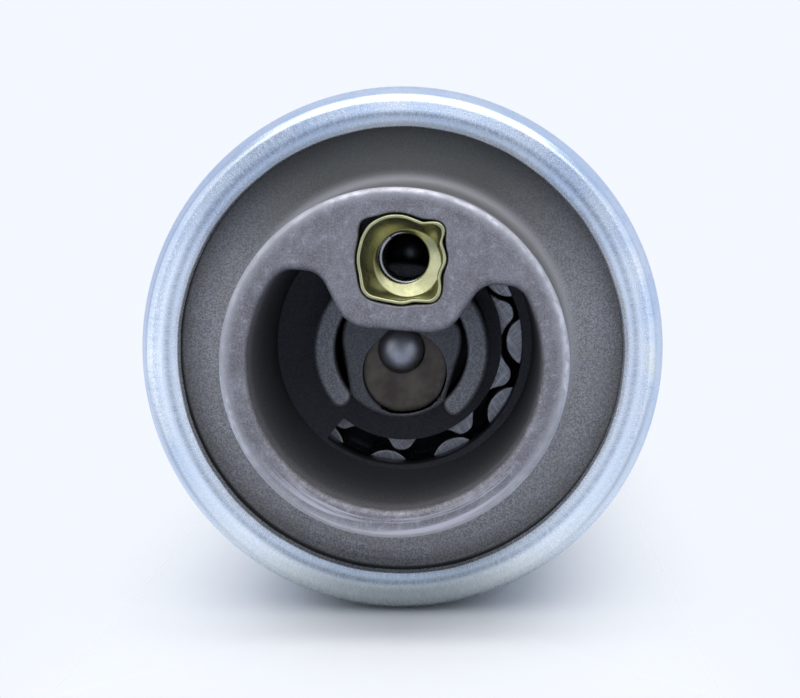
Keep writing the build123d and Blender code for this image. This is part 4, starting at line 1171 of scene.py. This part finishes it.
def inner_outline():
    """The track of the outer lobes' centres, moved inwards along its own normal.

    The track is a point on the lobes' circle plus a point on the offset's circle that turns
    once more per turn than there are lobes. The steps along it are closer where it bends most.
    """
    lobes = INNER_LOBES
    turn = np.linspace(0, 2 * np.pi, 41)[:-1]
    turn = (turn + 0.8 * np.sin(turn)) / lobes
    turn = np.concatenate([turn + 2 * np.pi * k / lobes for k in range(lobes)])
    fast = (lobes + 1) * turn
    x = LOBE_CIRCLE_R * np.cos(turn) + MESH_OFFSET * np.cos(fast)
    y = LOBE_CIRCLE_R * np.sin(turn) + MESH_OFFSET * np.sin(fast)
    dx = -LOBE_CIRCLE_R * np.sin(turn) - MESH_OFFSET * (lobes + 1) * np.sin(fast)
    dy = LOBE_CIRCLE_R * np.cos(turn) + MESH_OFFSET * (lobes + 1) * np.cos(fast)
    step = (LOBE_R + LOBE_PLAY) / np.hypot(dx, dy)
    return rolled(np.column_stack([x - dy * step, y + dx * step]), INNER_PHASE)


def chamber_outline(centre):
    """Walk round the outer rotor's inside: over a lobe, along the root circle, to the next.

    The root circle meets a lobe at the angle that the three sides of a triangle give: the lobe
    circle's radius, the root's and the lobe's own.
    """
    teeth = INNER_LOBES + 1
    phase = MESH_SIDE + (INNER_PHASE - MESH_SIDE) * INNER_LOBES / teeth
    reach = (LOBE_CIRCLE_R**2 + ROOT_R**2 - LOBE_R**2) / (2 * LOBE_CIRCLE_R * ROOT_R)
    half = np.degrees(np.arccos(reach))
    meet_x, meet_y = arc((-LOBE_CIRCLE_R, 0), ROOT_R, half, half, 1)[0]
    meet = np.degrees(np.arctan2(meet_y, meet_x))
    lobe = arc((LOBE_CIRCLE_R, 0), LOBE_R - 0.06, 360 - meet, meet, 40)
    root = arc((0, 0), ROOT_R, half, 360 / teeth - half, 8)[1:-1]
    one = np.concatenate([lobe, root])
    return np.concatenate([rolled(one, phase + 360 * k / teeth) for k in range(teeth)]) + centre


def rotor_patches(outside, inside):
    """Two walls with broken edges, and a ring of a face at each end."""
    walls = carried(outside, ROTOR_EDGE), carried(inside[::-1], ROTOR_EDGE)
    faces = [flat(station, *(wall[row, :-1, [0, 2]].T for wall in walls))
             for station, row in ((ROTOR_FRONT, 0), (ROTOR_BACK, -1))]
    return [*map(skin, walls), *faces]


mesh_centre = arc((0, 0), MESH_OFFSET, MESH_SIDE, MESH_SIDE, 1)[0]
inner = rotor_patches(inner_outline(), circle(INNER_BORE_R, sides=64))
outer = rotor_patches(circle(OUTER_ROTOR_R, *mesh_centre, sides=192), chamber_outline(mesh_centre))
ground = finishes["sintered_steel"]
piece("inner_gear", inner, ground, "armature", ["inner_rotor"])
piece("outer_gear", outer, ground, "ring_gear", ["outer_rotor"])

# %% [markdown]
# ## The brass cup
#
# A square of thin sheet pressed into the pocket. Its rim rolls over and its corners stand up, its
# wall goes down steeply to a crisp circle that sits a little to the lower right, and a shallow
# dish leads from there to the hole that the spring shows through. A row of rings makes it, each
# with its depth, its radius, and how square it still is.

# %% Make the brass cup
CUP_HALF = 3.42
DISH_SHIFT = (0.33, -0.38)
# Depth, radius, squareness, and how far the ring leans with the dish
CUP_RINGS = [
    (0.95, 3.36, 1.0, 0.0),
    (0.30, 3.40, 1.0, 0.0),
    (0.05, 3.42, 1.0, 0.0),
    (-0.06, 3.36, 1.0, 0.0),
    (-0.08, 3.28, 1.0, 0.0),
    (-0.05, 3.18, 1.0, 0.0),
    (0.06, 3.13, 1.0, 0.0),
    (0.35, 3.09, 1.0, 0.0),
    (0.70, 3.03, 0.96, 0.15),
    (1.05, 2.96, 0.85, 0.38),
    (1.40, 2.86, 0.6, 0.65),
    (1.65, 2.76, 0.3, 0.87),
    (1.82, 2.68, 0.08, 0.98),
    (1.90, 2.63, 0.0, 1.0),
    (1.94, 2.56, 0.0, 0.97),
    (2.20, 2.10, 0.0, 0.2),
    (2.26, 2.02, 0.0, 0.0),
    (2.33, 1.98, 0.0, 0.0),
    (2.40, 1.98, 0.0, 0.0),
    (2.44, 2.03, 0.0, 0.0),
    (2.42, 2.20, 0.0, 0.3),
    (2.10, 2.66, 0.0, 0.9),
    (1.90, 2.88, 0.2, 0.9),
    (1.60, 3.08, 0.6, 0.6),
    (1.25, 3.26, 0.9, 0.25),
    (0.95, 3.36, 1.0, 0.0),
]


def cup_grid():
    """Rings over the rim, down to the hole, and back along the outside.

    A ring's outline lies between the rim's own line and a circle, by its squareness, and its
    middle moves with the dish by its lean. The corners stand up a tenth of a millimetre.
    """
    angle = np.linspace(0, 2 * np.pi, 361)
    rim = cup_rim(angle) / CUP_HALF
    depth, size, squareness, lean = np.array(CUP_RINGS).T[..., None]
    radius = size * (1 + squareness * (rim - 1))
    corner = 0.1 * squareness * np.clip(rim - 1.05, 0, 0.2) / 0.2
    station = AT_RIM + 0.12 + depth - corner
    across = RELIEF_PLACE[0] + DISH_SHIFT[0] * lean + radius * np.cos(angle)
    up = RELIEF_PLACE[1] + DISH_SHIFT[1] * lean + radius * np.sin(angle)
    return np.stack([across, station, up], -1)


cup = [skin(cup_grid())]
piece("brass_cup", cup, finishes["pressed_brass"], "housing", ["relief_retainer"])

# %% [markdown]
# ## The springs
#
# Four springs press on the relief ball, the check valve and the two brushes. Each is a helix
# along its node's box, with one end at rest in the housing and the other on the body that it
# presses; it keeps its length and its place when that body slides. The relief spring's first coil
# is tighter and sits a little to one side, so it shows through the cup's hole as a crescent, with
# the cut end of the wire at the upper left.

# %% Make the springs
WIRE_START = 125
WIRE_R = 0.2
POINTS_PER_TURN = 48
FIRST_COIL_ENDS = 1.2
# Name, node, sliding body, whether that is at the back end, turns, radius, and the first coil's
# radius and shift
SPRINGS = [
    ("relief_coil", "relief_spring", "relief_ball", True, 7, 2.1, 2.0, 0.16),
    ("valve_coil", "valve_spring", "check_poppet", False, 5, 3.35, 3.35, 0.0),
    ("brush_coil_left", "brush_spring_left", "brush_left", False, 4, 1.8, 1.8, 0.0),
    ("brush_coil_right", "brush_spring_right", "brush_right", False, 4, 1.8, 1.8, 0.0),
]


def wire_along(path, wire_r, sides=10):
    """Circles across a path, with rings of no size that close its two ends."""
    along = unit(np.gradient(path, axis=0))
    across = unit(np.cross(along, (0, 1, 0)))
    over = np.cross(across, along)
    order = np.concatenate([[0], np.arange(len(path)), [len(path) - 1]])
    size = np.full(len(order), wire_r)
    size[[0, -1]] = 0
    angle = np.linspace(0, 2 * np.pi, sides + 1)[:, None]
    rings = np.cos(angle) * across[order, None] + np.sin(angle) * over[order, None]
    return path[order, None] + size[:, None, None] * rings


def spring_path(node, turns, coil_r, first_r, first_shift):
    """A helix about the middle of the node's box.

    The angle and the station grow evenly. The radius and the shift start at the first coil's and
    ease to the rest's, by the exponential of minus the turns to the fourth power.
    """
    low, high = node_span(node)
    corners = np.array(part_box(node))
    middle = (corners.mean(axis=0) - AXIS)[[0, 2]] / MM
    share = np.linspace(0, 1, turns * POINTS_PER_TURN)
    turn = turns * share
    first = np.exp(-((turn / FIRST_COIL_ENDS) ** 4))
    radius = coil_r + (first_r - coil_r) * first
    angle = np.radians(WIRE_START) + 2 * np.pi * turn
    across = middle[0] + first_shift * first + radius * np.cos(angle)
    up = middle[1] + radius * np.sin(angle)
    return np.column_stack([across, low + WIRE_R + (high - low - 2 * WIRE_R) * share, up])


for name, node, body, slides_behind, *shape in SPRINGS:
    wire = skin(wire_along(spring_path(node, *shape), WIRE_R))
    coil = piece(name, [wire], finishes["spring_steel"], None, [node])
    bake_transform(coil)

# %% [markdown]
# ## The terminals
#
# Two studs with a cut thread, each with a washer and a chamfered nut. A thread is a ramp that
# climbs one pitch a turn, so a wave of the station minus the turn cuts it into a plain stud. The
# nut is a hexagon whose corners are cut by a cone at both faces, and it keeps flat shading.

# %% Make the studs, washers and nuts
STUD_PLACES = [(-8.5, -9.0), (8.5, -9.0)]
STUD_R = 2.0
HEAD_R = 3.4
HEAD = 1.5
HEAD_CHAMFER = 0.2
PITCH = 0.7
STEPS_PER_PITCH = 9
THREAD_DEPTH = 0.4
WASHER_R = 4.2
NUT_FLATS = 7.0
NUT_RISE = (0, 0.05, 0.12, 0.2, 0.28, 0.36)


def stud_grid(x, height):
    """A turned stud whose thread is cut by a triangle wave of the station minus the turn."""
    low, high = node_span("terminal_studs")
    cut_from = node_span("terminal_washers")[0]
    head_top = low + HEAD
    line = [(low, 0), (low, HEAD_R - HEAD_CHAMFER), (low + HEAD_CHAMFER, HEAD_R),
            (head_top - HEAD_CHAMFER, HEAD_R), (head_top, HEAD_R - HEAD_CHAMFER),
            (head_top, STUD_R)]
    thread = np.arange(cut_from, high - 0.45, PITCH / STEPS_PER_PITCH)
    line += [(station, STUD_R) for station in thread]
    line += [(high - 0.4, STUD_R - 0.1), (high, STUD_R - 0.5), (high, 0)]
    grid = turned(np.array(line), x, height, 48)
    across, up, station = grid[..., 0] - x, grid[..., 2] - height, grid[..., 1]
    turn = np.arctan2(up, across) / (2 * np.pi)
    ramp = (station / PITCH - turn) % 1
    groove = THREAD_DEPTH * np.clip(1.15 * (1 - np.abs(2 * ramp - 1)) - 0.1, 0, 1)
    groove = groove * np.clip((station - cut_from) / PITCH, 0, 1) * (station < high - 0.1)
    scale = np.maximum(1 - groove / STUD_R, 0)
    return np.stack([x + across * scale, station, height + up * scale], axis=-1)


def washer_grid(x, height):
    """A ring with rounded outer edges."""
    low, high = node_span("terminal_washers")
    corners = [(low, STUD_R + 0.05, 0.05), (high, STUD_R + 0.05, 0.05), (high, WASHER_R, 0.2),
               (low, WASHER_R, 0.2)]
    line = rounded(corners, closed=True)
    return turned(np.concatenate([line, line[:1]]), x, height, 96)


def nut_grid(x, height):
    """Rings whose radius is the smaller of a hexagon's and of a cone's at either face.

    The hexagon's radius is half its width over the cosine of the angle from a flat's middle.
    The cone widens by the root of three times the distance from the nearer face.
    """
    low, high = node_span("terminal_nuts")
    thickness = high - low
    angle = np.linspace(0, 2 * np.pi, 97)
    side = NUT_FLATS / 2 / np.cos(angle % (np.pi / 3) - np.pi / 6)
    rise = np.array(NUT_RISE)
    rise = np.concatenate([rise, thickness - rise[::-1]])
    cone = NUT_FLATS / 2 - 0.06 + np.minimum(rise, thickness - rise) * np.sqrt(3)
    outside = np.minimum(side, cone[:, None])
    hole = [(0.2, STUD_R), (0.0, STUD_R + 0.25)]
    inside = np.array(hole + [(thickness - step, radius) for step, radius in hole[::-1]])
    rise = np.concatenate([inside[:2, 0], rise, inside[2:, 0], inside[:1, 0]])
    rings = [np.full_like(side, radius) for radius in inside[:, 1]]
    radius = np.array([*rings[:2], *outside, *rings[2:], rings[0]])
    station = np.broadcast_to(low + rise[:, None], radius.shape)
    return np.stack([x + radius * np.cos(angle), station, height + radius * np.sin(angle)], axis=-1)


def faceted(grid):
    """A skin with flat shading."""
    return *skin(grid)[:2], False


FASTENERS = [
    ("threaded_studs", "terminal_studs", stud_grid, skin),
    ("washers", "terminal_washers", washer_grid, skin),
    ("hex_nuts", "terminal_nuts", nut_grid, faceted),
]
for name, node, grid_at, patch in FASTENERS:
    pair = [patch(grid_at(*place)) for place in STUD_PLACES]
    piece(name, pair, finishes["nut_steel"], "housing", [node])

# %% [markdown]
# ## Floor, background and light
#
# The pump lies on a white sweep. The floor keeps the pump's soft shadow and fades out into the
# background, because the photograph's ground is burnt out to the same white. Three fades do it:
# one with the distance, one to the sides, and one in front of the lip.

# %% The floor
FLOOR_R = 0.9
FLOOR_COLOUR = (0.95, 0.96, 0.98, 1)
FADE_AWAY = (0.075, 0.2)  # metres from the middle of the floor
FADE_BESIDE = (0.006, 0.032)  # metres to the side of the axis
FADE_BEFORE = (0.002, 0.03)  # metres in front of the lip


def make_floor():
    """A matt disc that turns clear where the largest of three fades is 1."""
    bpy.ops.mesh.primitive_circle_add(vertices=96, radius=FLOOR_R, fill_type="NGON")
    floor = bpy.context.object
    floor.name = "floor"
    material, tree, shader, place = new_material("floor_white")
    feed(tree, shader, Base_Color=FLOOR_COLOUR, Roughness=0.6)
    distance = add(tree, "ShaderNodeVectorMath", {"operation": "LENGTH"}, i0=place)
    split = add(tree, "ShaderNodeSeparateXYZ", Vector=place).outputs
    beside = remap(tree, maths(tree, "ABSOLUTE", split["X"]), *FADE_BESIDE)
    before = remap(tree, split["Y"], *(AXIS.y - step for step in FADE_BEFORE))
    fade = remap(tree, distance.outputs["Value"], *FADE_AWAY)
    fade = maths(tree, "MAXIMUM", fade, maths(tree, "MAXIMUM", beside, before))
    clear = add(tree, "ShaderNodeBsdfTransparent")
    mixed = add(tree, "ShaderNodeMixShader", i0=fade, i1=shader.outputs[0], i2=clear.outputs[0])
    tree.links.new(mixed.outputs[0], tree.nodes["Material Output"].inputs["Surface"])
    floor.data.materials.append(material)


make_floor()
print(f"floor {2 * FLOOR_R} m across, clear from {FADE_AWAY[1]} m on")

# %% [markdown]
# The world is the studio's light tent. To the camera it is the plain pale background. In
# reflections the tent's front is bright above, below and at both sides, and dark in the middle,
# where it has its opening. That leaves the pump's mouth dark and lets the rolled lip shine. For
# all other rays it is a dim, even, bluish light.

# %% The tent
SEEN_COLOUR = (0.90, 0.935, 1.0)
REFLECTED_COLOUR = (0.66, 0.76, 0.98)
LIGHT_COLOUR = (0.74, 0.85, 1.0)
LIGHT_STRENGTH = 0.44
FRONT_TOP = 1.1
FRONT_SIDE = 1.0
FRONT_LOW = 0.85
FRONT_DARK = 0.36
OPENING = 0.35
AROUND = (0.8, 1.1)


def tent_front(tree, split):
    """Strength in front of the pump, by how steeply a direction rises and how far it goes aside.

    The rise is the height over the distance from the axis, and the side is the same of x.
    """
    square = times(tree, split["Z"], split["Z"])
    away = maths(tree, "SQRT", maths(tree, "MULTIPLY_ADD", split["X"], split["X"], square))
    away = maths(tree, "MAXIMUM", away, 0.001)
    rise = maths(tree, "DIVIDE", split["Z"], away)
    side = maths(tree, "ABSOLUTE", maths(tree, "DIVIDE", split["X"], away))
    over = remap(tree, rise, 0.75, 0.95, 0.0, FRONT_TOP)
    table = remap(tree, rise, -0.4, -0.75, 0.0, FRONT_LOW)
    beside = remap(tree, side, 0.7, 0.95, FRONT_DARK, FRONT_SIDE)
    front = maths(tree, "ADD", maths(tree, "ADD", over, table), beside)
    return times(tree, front, remap(tree, split["Y"], -0.995, -0.965, OPENING, 1.0))


def make_world():
    """Plain to the camera, the tent in reflections, and a dim light for the rest."""
    world = bpy.data.worlds.new("studio")
    bpy.context.scene.world = world
    world.use_nodes = True
    tree = world.node_tree
    rays = tree.nodes.new("ShaderNodeLightPath").outputs
    seen = maths(tree, "MAXIMUM", rays["Is Camera Ray"], rays["Is Glossy Ray"])
    seen = maths(tree, "MAXIMUM", seen, rays["Is Transmission Ray"])
    direction = tree.nodes.new("ShaderNodeTexCoord").outputs["Generated"]
    split = add(tree, "ShaderNodeSeparateXYZ", Vector=direction).outputs
    wide = remap(tree, split["Y"], -0.82, -0.4)
    around = remap(tree, split["Y"], -0.2, 0.15, *AROUND)
    tent = add(tree, "ShaderNodeMix", i0=wide, i2=tent_front(tree, split), i3=around).outputs[0]
    tent = add(tree, "ShaderNodeMix", i0=rays["Is Camera Ray"], i2=tent, i3=1.0).outputs[0]
    strength = times(tree, remap(tree, seen, 0.0, 1.0, LIGHT_STRENGTH, 1.0), tent)
    colour = blend_colour(tree, rays["Is Glossy Ray"], SEEN_COLOUR, REFLECTED_COLOUR)
    colour = blend_colour(tree, rays["Is Diffuse Ray"], colour, LIGHT_COLOUR)
    tree.links.new(strength, tree.nodes["Background"].inputs["Strength"])
    tree.links.new(colour, tree.nodes["Background"].inputs["Color"])


make_world()
print("light of the tent:", LIGHT_STRENGTH)

# %% [markdown]
# Four soft boxes light the object at a plain level: one high in front and one right above, both a
# little warm, and two large ones at the sides. The left one is a little stronger, which puts the
# denser part of the shadow to the right.

# %% Soft boxes and view
WARM, WHITE = (1.0, 0.98, 0.95), (1, 1, 1)
# Name, place, aim, size, power and colour
SOFT_BOXES = [
    ("box_front", (0.0, -0.3, 0.4), (0, -0.05, 0.02), (0.6, 0.45), 1.35, WARM),
    ("box_top", (0.0, -0.03, 0.5), (0, -0.05, 0.02), (0.8, 0.5), 1.15, WARM),
    ("box_left", (-0.55, -0.35, 0.15), (0, -0.04, 0.02), (0.9, 0.7), 1.35, WHITE),
    ("box_right", (0.55, -0.4, 0.15), (0, -0.04, 0.02), (0.9, 0.7), 1.0, WHITE),
]


def soft_box(name, where, aim, size, power, colour):
    """An area lamp that looks along the line from its place to its aim."""
    lamp = bpy.data.lights.new(name, "AREA")
    lamp.shape = "RECTANGLE"
    lamp.size, lamp.size_y = size
    lamp.energy = power
    lamp.color = colour
    holder = bpy.data.objects.new(name, lamp)
    bpy.context.scene.collection.objects.link(holder)
    holder.location = where
    holder.rotation_euler = (Vector(aim) - Vector(where)).to_track_quat("-Z", "Y").to_euler()


for box in SOFT_BOXES:
    soft_box(*box)
bpy.context.scene.view_settings.view_transform = "Standard"
print("soft boxes:", len(SOFT_BOXES))
